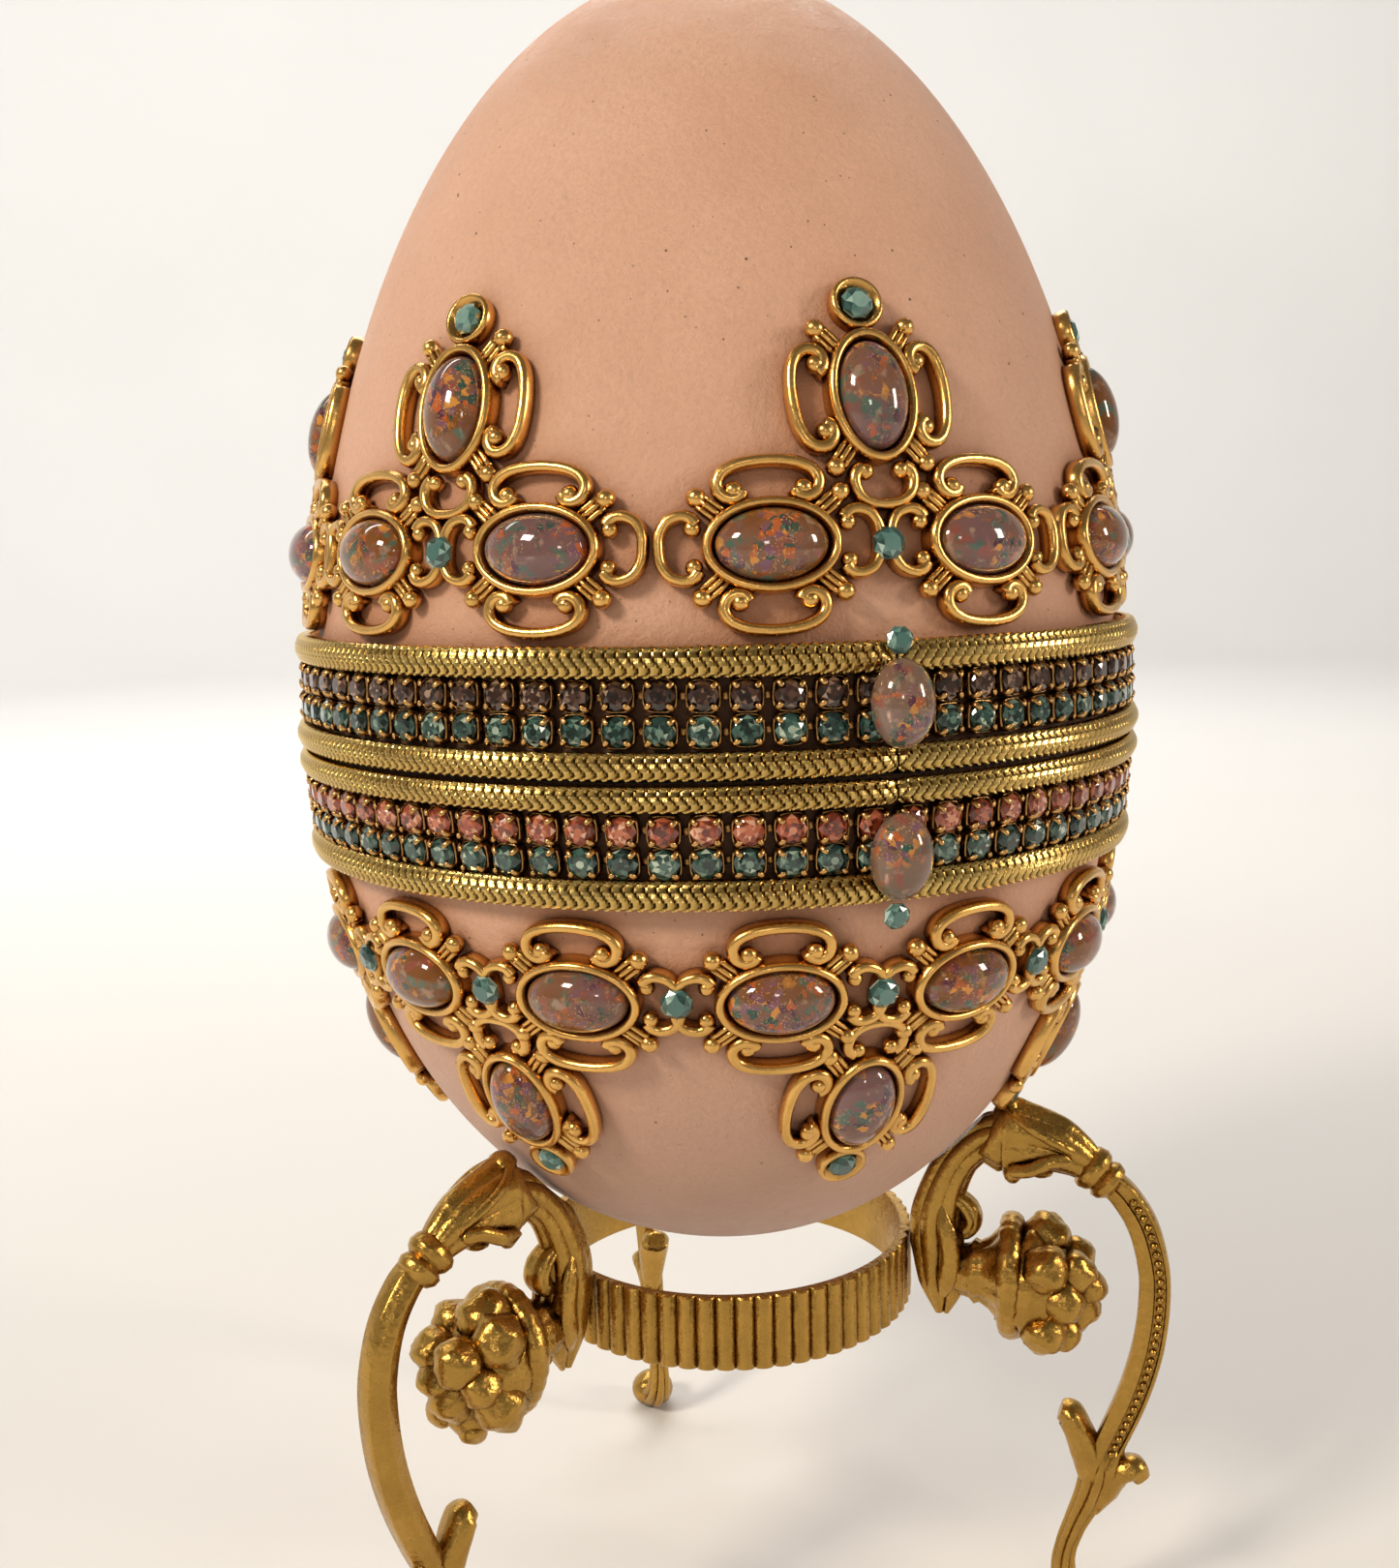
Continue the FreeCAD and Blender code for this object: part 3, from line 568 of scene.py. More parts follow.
def braid(level, tall):
    """Two strips of tubular braid: flat ribbons crossing in a herringbone of columns."""
    centre = float(egg_radius(level)) + GLUE + BRAID_DEPTH
    sweep_angle = math.radians(TRIM_REACH - TRIM_BUTT)
    ribs = int(centre * sweep_angle / RIB_PITCH)
    rows, columns = ribs * RIB_ROWS, BRAID_COLUMNS * COLUMN_POINTS
    along = np.linspace(0.0, 1.0, rows)[:, None]
    around = (np.arange(columns)[None, :] + 0.5) / columns
    column = np.floor(around * BRAID_COLUMNS)
    inside = around * BRAID_COLUMNS - column
    slant = np.where(column % 2 == 0, inside, 1.0 - inside)
    phase = (along * ribs - 1.1 * slant) % 1.0
    ribbon = np.clip(phase / 0.2, 0.0, 1.0) * np.clip((1.0 - phase) / 0.12, 0.0, 1.0)
    tilt = 0.42 + 0.58 * phase
    arch = np.sin(math.pi * inside) ** 0.4
    height = ribbon * tilt * (0.3 + 0.7 * arch)
    taper = np.clip(np.minimum(along, 1.0 - along) * ribs / 1.2, 0.0, 1.0) ** 0.5
    swell = 0.8 + 0.2 * taper
    turn = 2.0 * math.pi * (around - 0.5 / BRAID_COLUMNS)
    across, upward = (np.sign(wave) * np.abs(wave) ** BRAID_SQUARENESS
                      for wave in (np.cos(turn), np.sin(turn)))
    out = centre + swell * (BRAID_DEPTH - RIB_DEPTH * (1.0 - height)) * across
    lift = level + swell * (tall / 2.0 - RIB_DEPTH * (1.0 - height)) * upward
    strips = []
    for side in (1.0, -1.0):
        angle = math.radians(CLASP_ANGLE) + side * (math.radians(TRIM_BUTT) + along * sweep_angle)
        faces = grid(rows, columns, close_columns=True)
        faces = faces if side > 0 else faces[:, ::-1]
        strips.append((polar(out, angle, SEAM_Z + lift).reshape(-1, 3), faces.tolist()))
    values = np.concatenate([height.reshape(-1)] * 2)
    return joined(strips), values


BRAIDS = {"lid_upper_braid": 0.0, "lid_lower_braid": -SEAM_LEAN, "base_upper_braid": SEAM_LEAN,
          "base_lower_braid": 0.0}
for node, shift in BRAIDS.items():
    low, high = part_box(node)
    part, values = braid(middle_level(node) + shift, (high.z - low.z) / MM)
    body = "lid" if node.startswith("lid") else "egg_base"
    new_piece(node + "_weave", part, body, node, "metallic_braid", BRAID, smooth=False, values=values)


# ---- rhinestone chains
def new_gems(name, gem, places, body, node, seed, slot="teal_glass", look=TEAL):
    """Faceted stones at their places, each facet with a painted reflection tone of its own."""
    new_piece(name, repeated(gem, places), body, node, slot, look, smooth=False,
              tones=facet_tones(gem, len(places), seed))


def new_opals(name, opal, places, body, node, look=OPAL):
    """Opal domes at their places, which know how high each vertex sits."""
    heights = opal[0][:, 2] - opal[0][:, 2].min()
    new_piece(name, repeated(opal, places), body, node, "opal_glass", look,
              values=np.tile(heights / heights.max(), len(places)))


CHAIN_PITCH = 4.8
CHAIN_STONES = 35
CUP_HALF = 1.0
GIRDLE = 0.93


def chain_cup():
    """One cup with a square floor, a rounded wall, four claws and its link bar."""
    sides = 24
    levels = [(0.85, 0.0, 0.5), (CUP_HALF, 0.12, 0.5), (CUP_HALF, 0.62, 0.5), (0.97, 0.74, 0.55),
              (0.91, 0.74, 0.75), (0.88, 0.5, 0.9)]
    rings = []
    for radius, out, power in levels:
        flat = superoval(radius, sides, power)
        rings.append(np.column_stack([flat, np.full(sides, out)]))
    wall = np.vstack(rings), grid(len(levels), sides, close_columns=True).tolist()
    parts = [wall]
    for quarter in range(4):
        corner = math.radians(45.0 + 90.0 * quarter)
        direction = np.array([math.cos(corner), math.sin(corner), 0.0])
        path = [direction * 1.13 + [0, 0, 0.4], direction * 1.11 + [0, 0, 0.85],
                direction * 0.95 + [0, 0, 1.12], direction * 0.68 + [0, 0, 1.22]]
        tangent = np.array([-direction[1], direction[0], 0.0])
        parts.append(sweep(smooth_path(path, 3), [0.17] * 9 + [0.1], 0.1,
                           np.cross(tangent, [0.0, 0.0, 1.0]) + [0, 0, 0.01], 8))
    link = sweep([[CUP_HALF - 0.15, 0.0, 0.3], [CUP_HALF + 0.7, 0.0, 0.3]], 0.24, 0.07,
                 [0.0, 0.0, 1.0], 8, 0.5)
    return joined(parts + [link])


def chaton():
    """Faceted stone: a table split into facets for painted reflections of its pavilion, a crown and a
    pointed pavilion.
    """
    rings = [(0.26, 1.17, 0.5), (0.54, 1.17, 0.0), (0.8, 1.02, 0.5), (1.0, 0.84, 0.0), (1.0, 0.76, 0.0),
             (0.12, 0.26, 0.0)]
    return faceted(rings, GIRDLE, 8)


def faceted(rings, radius, sides):
    """Cut stone from rings of (share of the radius, height, turn in sides), closed at both ends."""
    points = np.vstack([polar(radius * share, full_turn(sides) + 2.0 * math.pi * offset / sides, out)
                        for share, out, offset in rings])
    faces = [list(range(sides))]
    for ring in range(len(rings) - 1):
        low, high = ring * sides, (ring + 1) * sides
        for index in range(sides):
            after = (index + 1) % sides
            if rings[ring][2] == rings[ring + 1][2]:
                faces.append([low + index, high + index, high + after, low + after])
            elif rings[ring][2] > rings[ring + 1][2]:
                faces.append([low + index, high + index, high + after])
                faces.append([low + index, high + after, low + after])
            else:
                faces.append([low + index, high + index, low + after])
                faces.append([low + after, high + index, high + after])
    faces.append([(len(rings) - 1) * sides + index for index in range(sides)][::-1])
    return points, faces


def facet_tones(part, stones, seed):
    """A painted reflection brightness for every facet of every stone, some stones darker than others."""
    chance = random.Random(seed)
    tones = []
    for _ in range(stones):
        mood = chance.uniform(-0.16, 0.14)
        tones += [min(1.0, max(0.0, chance.betavariate(1.1, 1.5) + mood)) for _ in part[1]]
    return tones


def chain_places(level, seed):
    """Where each cup of a chain sits, every one a little tilted."""
    chance = random.Random(seed)
    places = []
    for side in (-1.0, 1.0):
        for index in range(CHAIN_STONES):
            angle = CLASP_ANGLE + side * (index + 0.5) * CHAIN_PITCH
            spin, lean = chance.uniform(-3.0, 3.0), chance.uniform(-0.05, 0.05)
            slip = chance.uniform(-0.04, 0.04)

            def place(points, angle=angle, spin=spin, lean=lean, slip=slip):
                flat = turned(points, spin)
                flat[:, 2] += lean * flat[:, 0] + GLUE
                flat[:, 1] += slip
                return wrap(flat, angle, level)

            places.append(place)
    return places


CHAINS = {"lid_purple": (PURPLE, "purple_glass"), "lid_teal": (DEEP_TEAL, "teal_chain_glass"),
          "base_pink": (ROSE, "pink_glass"), "base_teal": (DEEP_TEAL, "teal_chain_glass")}
for order, (name, (gem, slot)) in enumerate(CHAINS.items()):
    level = middle_level(name + "_chain")
    body = "lid" if name.startswith("lid") else "egg_base"
    places = chain_places(level, SEED + order)
    new_piece(name + "_cups", repeated(chain_cup(), places), body, name + "_chain",
              "cup_chain", CUP_GOLD)
    new_gems(name + "_gems", chaton(), places, body, name + "_stones", SEED + order, slot, gem)


# ---- filigree
WIRE_HIGH = 0.68
OPAL_HALF = (3.2, 2.08)
OPAL_SEAT = 0.5          # how far an opal's foot stands off the shell
CREST_STONE = 5.55       # from a crest's middle out to its small stone
LINK_LEVEL = 13.2
FRONT_LIFT = 1.75        # the front stones bridge the braids
LID_PITCH = 54.0         # degrees from the front crest to its neighbours


def wire(points, middle, end, high=WIRE_HIGH):
    """Cast scroll line in the flat plane: slender in the middle, thick where it curls."""
    path = smooth_path([[x, y, 0.45] for x, y in points], 5)
    from_middle = np.abs(np.linspace(-1.0, 1.0, len(path)))
    return sweep(path, middle + (end - middle) * from_middle ** 2, high, [0.0, 0.0, 1.0], 10, 0.8)


def both_ways(points, axis):
    """A curve and its mirror image, joined where they meet."""
    points = np.asarray(points, float)
    other = points.copy()
    other[:, axis] *= -1.0
    return np.vstack([points, other[::-1][1:]])


def bead(x, y, radius, out=0.62):
    """Small cast ball."""
    return ball([x, y, out], radius)


def long_scroll():
    """Long scroll above the oval cup, its two ends curled around balls."""
    half = [(1.5, 3.12), (1.7, 2.78), (2.2, 2.68), (2.7, 2.98), (2.86, 3.55), (2.55, 4.15), (1.8, 4.55),
            (0.9, 4.73), (0.0, 4.78)]
    return joined([wire(both_ways(half, 0), 0.38, 0.48), bead(1.95, 3.14, 0.56),
                   bead(-1.95, 3.14, 0.56)])


def end_scroll():
    """Round scroll at the connector's right end, curled around a ball above and below."""
    half = [(4.15, 1.3), (4.45, 1.68), (5.0, 1.82), (5.75, 1.55), (6.2, 0.85), (6.3, 0.0)]
    return joined([wire(both_ways(half, 1), 0.35, 0.45), bead(4.38, 1.08, 0.52), bead(4.38, -1.08, 0.52)])


def corner_bars():
    """Band of three ridges with a ball, from the cup out to the upper right corner."""
    parts = []
    for offset, high in ((-0.36, 0.46), (0.0, 0.58), (0.36, 0.46)):
        start = np.array([2.75 + offset * 0.62, 1.72 - offset * 0.78, 0.5])
        end = start + [1.1, 0.9, 0.0]
        parts.append(sweep(np.linspace(start, end, 4), 0.21, high, [0.0, 0.0, 1.0], 8, 0.9))
    return joined(parts + [bead(4.05, 2.82, 0.6)])


def oval_cup():
    """Rounded oval rim with a floor for the opal."""
    long, short = 3.92, 2.7
    profile = [(1.0, -0.35), (1.02, 0.2), (1.015, 0.62), (1.0, 0.98), (0.975, 1.2), (0.94, 1.3),
               (0.9, 1.28), (0.865, 1.15), (0.84, 0.8), (0.835, 0.42)]
    turn = full_turn(56)
    rings = []
    for share, out in profile:
        inset = (1.0 - share) * long
        rings.append(np.column_stack([(long - inset) * np.cos(turn), (short - inset) * np.sin(turn),
                                      np.full(len(turn), out)]))
    points = np.vstack(rings + [np.array([[0.0, 0.0, 0.4]])])
    faces = grid(len(profile), len(turn), close_columns=True).tolist()
    return points, faces + fan(len(points) - 1, (len(profile) - 1) * len(turn), len(turn))


def quarters(part):
    """A part in all four corners of the connector."""
    across = mirrored(part, 0)
    return [part, across, mirrored(part, 1), mirrored(across, 1)]


def connector(left_end=True):
    """One filigree connector, lying flat with its long side along X."""
    parts = [oval_cup(), end_scroll(), long_scroll(), mirrored(long_scroll(), 1)]
    parts += quarters(corner_bars())
    if left_end:
        parts.append(mirrored(end_scroll(), 0))
    return joined(parts)


def stone_cup():
    """Round bowl at a crest's outer end, which holds a small stone."""
    profile = [(1.5, -0.3), (1.62, 0.3), (1.6, 0.8), (1.45, 1.02), (1.28, 0.95), (1.15, 0.62), (0.02, 0.5)]
    points, faces = lathe(profile, 28)
    return points - [CREST_STONE, 0.0, 0.0], faces


def crest():
    """Connector stood on end, its outer scroll closed into a stone cup."""
    points, faces = joined([connector(left_end=False), stone_cup()])
    return turned(points, -90.0), faces


def motif_angles(front_pitch):
    """Middles of the seven crests or drops: one at the clasp, the rest even behind its neighbours."""
    rear_pitch = (360.0 - 2.0 * front_pitch) / (MOTIFS - 2)
    one_side = [front_pitch + index * rear_pitch for index in range(MOTIFS // 2)]
    offsets = [-offset for offset in reversed(one_side)] + [0.0] + one_side
    return [CLASP_ANGLE + offset for offset in offsets]


def gap_after(angles, index):
    """Degrees from one motif to the next one around the egg."""
    return (angles[(index + 1) % MOTIFS] - angles[index]) % 360.0


def row_angles(front_pitch):
    """Middles of the fourteen connectors of a row, two to a motif."""
    angles = motif_angles(front_pitch)
    row = []
    for index, angle in enumerate(angles):
        half = (gap_after(angles, index - 1) + gap_after(angles, index)) / 8.0
        row += [angle - half, angle + half]
    return row


LID_MOTIFS, LID_ROW = motif_angles(LID_PITCH), row_angles(LID_PITCH)
BASE_PITCH = 360.0 / MOTIFS
BASE_MOTIFS, BASE_ROW = motif_angles(BASE_PITCH), row_angles(BASE_PITCH)


def set_on_egg(angles, level, turn=0.0, lift=0.0, seed=None):
    """Places on the egg for copies of a flat piece, hand-set a little unevenly."""
    chance = random.Random(seed)
    places = []
    for angle in angles:
        wobble = chance.uniform(-2.5, 2.5) if seed is not None else 0.0

        def place(points, angle=angle, wobble=wobble):
            flat = turned(points, turn + wobble)
            flat[:, 2] += lift
            return wrap(flat, angle, level)

        places.append(place)
    return places


def cabochon(half=OPAL_HALF, dome=1.9):
    """Smooth oval dome with a small straight edge."""
    edge = 0.18
    rings = [(0.97, 0.0), (1.0, 0.12)]
    rings += [(math.cos(t), edge + (dome - edge) * math.sin(t))
              for t in np.linspace(0.0, 0.5 * math.pi, 16)[1:-1]]
    sides = 48
    points, faces = lathe(rings, sides, half[0], half[1])
    points = np.vstack([points, [[0.0, 0.0, dome], [0.0, 0.0, 0.0]]])
    top = len(rings) * sides
    return points, faces + fan(top, top - sides, sides) + fan(top + 1, 0, sides, False)


def flat_back(radius):
    """Round faceted stone with a flat foiled back."""
    rings = [(0.52, 0.62, 0.5), (0.84, 0.42, 0.0), (1.0, 0.17, 0.5), (0.98, 0.0, 0.5)]
    points, faces = faceted(rings, radius, 8)
    points[:, 2] *= radius
    return points, faces


ROWS = [("lid_filigree_row", "lid_row_opals", "lid", LID_ROW),
        ("base_filigree_row", "base_row_opals", "egg_base", BASE_ROW)]
for order, (filigree, opals, body, angles) in enumerate(ROWS):
    level = middle_level(filigree)
    new_piece(filigree + "_scrolls", repeated(connector(), set_on_egg(angles, level, 0.0, GLUE, order)),
              body, filigree, "gold_filigree", GOLD)
    new_opals(opals + "_domes", cabochon(), set_on_egg(angles, level, 0.0, OPAL_SEAT, order), body, opals)

UPRIGHTS = [("lid_filigree_crests", "lid_crest_", "lid", LID_MOTIFS, 21.6, 0.0),
            ("base_filigree_drops", "base_drop_", "egg_base", BASE_MOTIFS, -21.2, 180.0)]
for order, (filigree, motif, body, angles, level, turn) in enumerate(UPRIGHTS):
    places = set_on_egg(angles, level, turn, GLUE, order + 5)
    new_piece(filigree + "_scrolls", repeated(crest(), places), body, filigree, "gold_filigree", GOLD)
    points, faces = cabochon()
    opal = turned(points, 90.0) + [0.0, 0.0, OPAL_SEAT - GLUE], faces
    new_opals(motif + "opals_domes", opal, places, body, motif + "opals")
    points, faces = flat_back(0.98)
    gem = points + [0.0, CREST_STONE, 0.62], faces
    new_gems(motif + "stones_gems", gem, places, body, motif + "stones", order)

LINKS = [("lid_link_stones", "lid", LINK_LEVEL, LID_MOTIFS),
         ("base_link_stones", "egg_base", -LINK_LEVEL,
          BASE_MOTIFS + [angle + BASE_PITCH / 2.0 for angle in BASE_MOTIFS])]
for stones, body, level, angles in LINKS:
    new_gems(stones + "_gems", flat_back(1.0), set_on_egg(angles, level, 0.0, 1.0, 3), body, stones, 4)

for half, body in (("lid", "lid"), ("base", "egg_base")):
    node = half + "_front_opal"
    place = set_on_egg([CLASP_ANGLE], middle_level(node), 90.0, FRONT_LIFT, 11)
    new_opals(node + "_dome", cabochon((2.55, 1.8), 2.0), place, body, node, MILK_OPAL)
    node = half + "_front_stone"
    place = set_on_egg([CLASP_ANGLE], middle_level(node), 0.0, FRONT_LIFT)
    new_gems(node + "_gem", flat_back(0.82), place, body, node, 6)


# ---- stand
RING_BORE = 13.4
RING_TOP = -38.8
RING_FOOT = -44.2
RING_WALL = 0.45
REEDS = 63
REED_DEPTH = 0.45
LEG_ANGLES = {"back": 85.0, "left": 205.0, "right": 325.0}
ACROSS = (0.0, 1.0, 0.0)
BEAD_PITCH = 0.68
EGG_CLEARANCE = 0.35     # between the legs and the egg that rests on them
EGG_REACH = -36.0        # the legs come near the egg only above this level
HORN_LEVEL = -41.3
HORN_SIDES = 72
ROPE_STEPS, ROPE_SIDES = 144, 12
FLATTENED = 0.86         # a cornucopia is this much narrower across than it is tall
FRUITS = [(23.7, 0.0, -41.6, 4.0), (24.6, 2.7, -39.2, 2.1), (24.5, -2.8, -39.4, 2.0),
          (24.7, 2.8, -43.9, 2.2), (24.6, -2.7, -44.2, 2.0), (24.3, 0.3, -38.2, 2.1),
          (25.0, -0.2, -44.9, 1.8), (26.9, 1.5, -40.3, 1.9), (26.8, -1.7, -40.1, 1.7),
          (26.6, 0.1, -43.0, 2.0), (27.4, -0.3, -41.5, 1.5), (25.9, 2.9, -41.6, 1.6),
          (25.8, -3.0, -42.0, 1.6), (25.6, 0.6, -46.0, 1.1), (26.1, -1.9, -44.6, 1.3)]


def fluted(lobes, depth, sides, start=0.0):
    """Round outline with rounded ribs and sharp valleys between them."""
    turn = full_turn(sides)
    rib = np.abs(np.sin(0.5 * lobes * (turn - start))) ** 0.7
    radius = 1.0 - depth * (1.0 - rib)
    return np.stack([radius * np.cos(turn), radius * np.sin(turn)], axis=1)


def in_plane(points, half_widths, half_depths, outline, steps=6):
    """Branch of a leg in its own upright plane, from stations of radius and level."""
    path = smooth_path([[radius, 0.0, level] for radius, level in points], steps)
    spots = np.linspace(0.0, len(points) - 1.0, len(path))
    widths = np.interp(spots, range(len(points)), half_widths)
    depths = np.interp(spots, range(len(points)), half_depths)
    return sweep(path, widths, depths, ACROSS, outline=outline)


def stem():
    """Fluted stem that rises from a leaf tip on the ring and arches into the cuff."""
    stations = [(16.6, -44.9), (16.4, -42.4), (16.4, -39.2), (16.4, -36.9), (17.0, -34.6),
                (18.1, -32.4), (19.9, -30.7), (21.9, -30.3), (23.6, -30.8)]
    in_plane_half = [0.3, 1.4, 2.1, 2.0, 1.75, 1.6, 1.7, 1.75, 1.6]
    across_half = [0.3, 1.1, 1.6, 1.55, 1.4, 1.3, 1.35, 1.45, 1.4]
    return in_plane(stations, in_plane_half, across_half, fluted(7, 0.15, 42))


def acanthus():
    """Leaf folds where the stem leaves the ring: a curled bud, side leaves and a tip."""
    bud = in_plane([(16.9, -34.9), (17.9, -35.5), (18.8, -36.3), (19.1, -37.3), (18.5, -38.1),
                    (17.6, -38.2)],
                   [0.4, 0.65, 0.8, 0.8, 0.75, 0.5], [0.6, 1.0, 1.15, 1.15, 1.0, 0.6], fluted(5, 0.12, 30))
    parts = [bud]
    for side in (-1.0, 1.0):
        fold = smooth_path([[16.6, 0.7 * side, -35.6], [17.2, 1.35 * side, -37.4],
                            [17.6, 1.5 * side, -39.6], [17.3, 1.25 * side, -41.8],
                            [17.0, 0.7 * side, -43.0]], 5)
        widths = np.interp(np.linspace(0.0, 1.0, len(fold)), [0.0, 0.3, 0.7, 1.0], [0.3, 0.75, 0.8, 0.35])
        parts.append(sweep(fold, widths, 0.45, [0.0, side, 0.3], outline=fluted(4, 0.13, 20)))
    tip = in_plane([(17.6, -38.6), (17.9, -41.2), (17.6, -43.2), (17.1, -44.9)],
                   [0.5, 0.8, 0.7, 0.2], [1.3, 1.4, 1.0, 0.25], fluted(5, 0.12, 30))
    return joined(parts + [tip])


def cuff():
    """Bell-shaped sleeve over the end of the arch: pointed upper lip, lobes and hollows."""
    stations = [(22.6, -30.6), (21.9, -30.5), (21.35, -30.45), (21.6, -30.45), (22.6, -30.5),
                (23.9, -30.6), (25.3, -30.95), (26.6, -31.6), (27.6, -32.3)]
    in_plane_half = [1.9, 2.5, 2.9, 3.2, 2.95, 2.5, 2.2, 1.75, 1.35]
    across_half = [1.4, 1.7, 1.85, 2.0, 2.0, 1.95, 1.85, 1.55, 1.25]
    bell = in_plane(stations, in_plane_half, across_half, fluted(6, 0.14, 48, 0.52))
    parts = [bell]
    for side in (-1.0, 1.0):
        leaf = smooth_path([[21.9, 1.7 * side, -32.6], [23.4, 2.1 * side, -32.3],
                            [24.9, 1.9 * side, -31.6], [26.3, 1.4 * side, -31.6]], 5)
        parts.append(sweep(leaf, [0.25] + [0.55] * (len(leaf) - 2) + [0.2], 0.35, [0.0, side, 0.0],
                           outline=fluted(3, 0.2, 18)))
        brow = smooth_path([[21.5, 0.7 * side, -28.0], [23.0, 1.7 * side, -28.9],
                            [24.7, 1.8 * side, -29.9], [26.4, 1.3 * side, -30.9]], 5)
        parts.append(sweep(brow, 0.36, 0.36, [0.0, side, 0.0], 12))
    parts += [ball([21.7, 0.0, -28.0], 0.85, stretch=(1.2, 1.3, 0.9)),
              ball([22.1, 0.75, -33.1], 0.7, stretch=(1.0, 0.9, 1.1)),
              ball([22.1, -0.75, -33.1], 0.7, stretch=(1.0, 0.9, 1.1)),
              ball([24.1, 0.0, -33.0], 0.75, stretch=(1.3, 1.2, 0.7))]
    return joined(parts)


def collar():
    """Two knuckles between the cuff and the arm."""
    stations = [(27.2, -32.0), (27.5, -32.2), (27.85, -32.5), (28.2, -32.8), (28.45, -33.0),
                (28.75, -33.25), (29.1, -33.6), (29.4, -33.9)]
    halves = [1.2, 1.6, 1.75, 1.6, 1.3, 1.6, 1.5, 1.05]
    return in_plane(stations, halves, [0.95 * half for half in halves], superoval(1.0, 28, 1.0), 3)


def arm():
    """Long bowed arm: bevelled on one face, a row of beads in a channel on the other."""
    stations = [(28.7, -33.1), (30.1, -34.3), (31.5, -36.6), (32.3, -39.8), (32.35, -42.6), (32.05, -45.4),
                (31.5, -47.9), (30.75, -50.3), (29.8, -52.7), (29.0, -54.6), (28.3, -56.2)]
    halves = [0.95, 1.05, 1.1, 1.12, 1.13, 1.13, 1.12, 1.1, 1.08, 1.0, 0.9]
    outline = np.array([(1.0, 0.2), (0.96, 0.34), (0.1, 0.98), (-0.06, 0.98), (-0.96, 0.4), (-1.0, 0.26),
                        (-1.0, -0.55), (-0.92, -0.7), (-0.2, -1.0), (-0.06, -1.0), (0.02, -0.82),
                        (0.68, -0.82), (0.76, -1.0), (0.92, -0.98), (1.0, -0.84)])
    bar = in_plane(stations, halves, [1.05] * len(stations), outline)
    path = smooth_path([[radius, 0.0, level] for radius, level in stations[1:-1]], 12)
    arcs = np.concatenate([[0.0], np.cumsum(np.linalg.norm(np.diff(path, axis=0), axis=1))])
    outward = np.cross(np.gradient(path, axis=0), ACROSS)
    channel = path + 0.39 * outward / np.linalg.norm(outward, axis=1)[:, None]
    beads = []
    for spot in np.arange(0.6, arcs[-1], BEAD_PITCH):
        centre = [np.interp(spot, arcs, channel[:, 0]), -0.88, np.interp(spot, arcs, channel[:, 2])]
        beads.append(ball(centre, 0.3, 5, 10))
    return joined([bar] + beads)


def lower_leg():
    """Fluted shin under its two curled leaves, and the rounded foot."""
    shin = in_plane([(28.7, -54.2), (28.5, -56.2), (27.9, -58.4), (26.9, -60.8), (26.25, -62.8),
                     (26.05, -64.6), (26.4, -66.4), (27.4, -67.8), (28.8, -68.5)],
                    [1.0, 1.35, 1.15, 0.9, 0.85, 0.95, 1.15, 1.4, 1.5],
                    [0.9, 1.15, 1.1, 0.9, 0.85, 0.9, 1.1, 1.35, 1.5], fluted(7, 0.26, 42))
    inner = in_plane([(28.5, -58.6), (28.1, -56.4), (27.6, -54.6), (27.0, -53.1), (26.4, -52.0),
                      (25.7, -51.7)],
                     [0.7, 1.2, 1.25, 1.1, 1.1, 0.75], [0.5, 1.0, 1.25, 1.45, 1.4, 0.9],
                     fluted(4, 0.12, 28, 0.4))
    outer = in_plane([(28.1, -59.6), (28.9, -57.9), (29.6, -56.6), (30.4, -55.9), (31.2, -55.8),
                      (31.7, -56.5)],
                     [0.6, 1.15, 1.2, 1.0, 1.0, 0.7], [0.5, 0.95, 1.15, 1.35, 1.3, 0.8],
                     fluted(4, 0.12, 28, 0.4))
    calyx = in_plane([(28.9, -57.4), (29.3, -55.9), (29.8, -54.5), (30.4, -53.4)],
                     [0.9, 1.1, 0.7, 0.2], [1.0, 1.3, 1.1, 0.3], fluted(5, 0.2, 30))
    foot = ball([29.4, 0.0, -68.4], 2.0, 12, 24, (1.0, 1.0, 0.85))
    return joined([shin, inner, outer, calyx, foot])


def clear_of_egg(points):
    """Hold a leg's vertices off the egg, and on the floor."""
    points = np.array(points, float)
    levels = points[:, 2]
    room = egg_radius(levels + EGG_CLEARANCE) + EGG_CLEARANCE
    distance = np.hypot(points[:, 0], points[:, 1])
    scale = np.where(levels > EGG_REACH, np.maximum(room / distance, 1.0), 1.0)
    points[:, :2] *= scale[:, None]
    points[:, 2] = np.maximum(levels, -SEAM_Z)
    return points


def on_stand(part, angle):
    """Turn a leg's plane to its place around the ring."""
    points = turned(clear_of_egg(part[0]), angle)
    points[:, 2] += SEAM_Z
    return points, part[1]


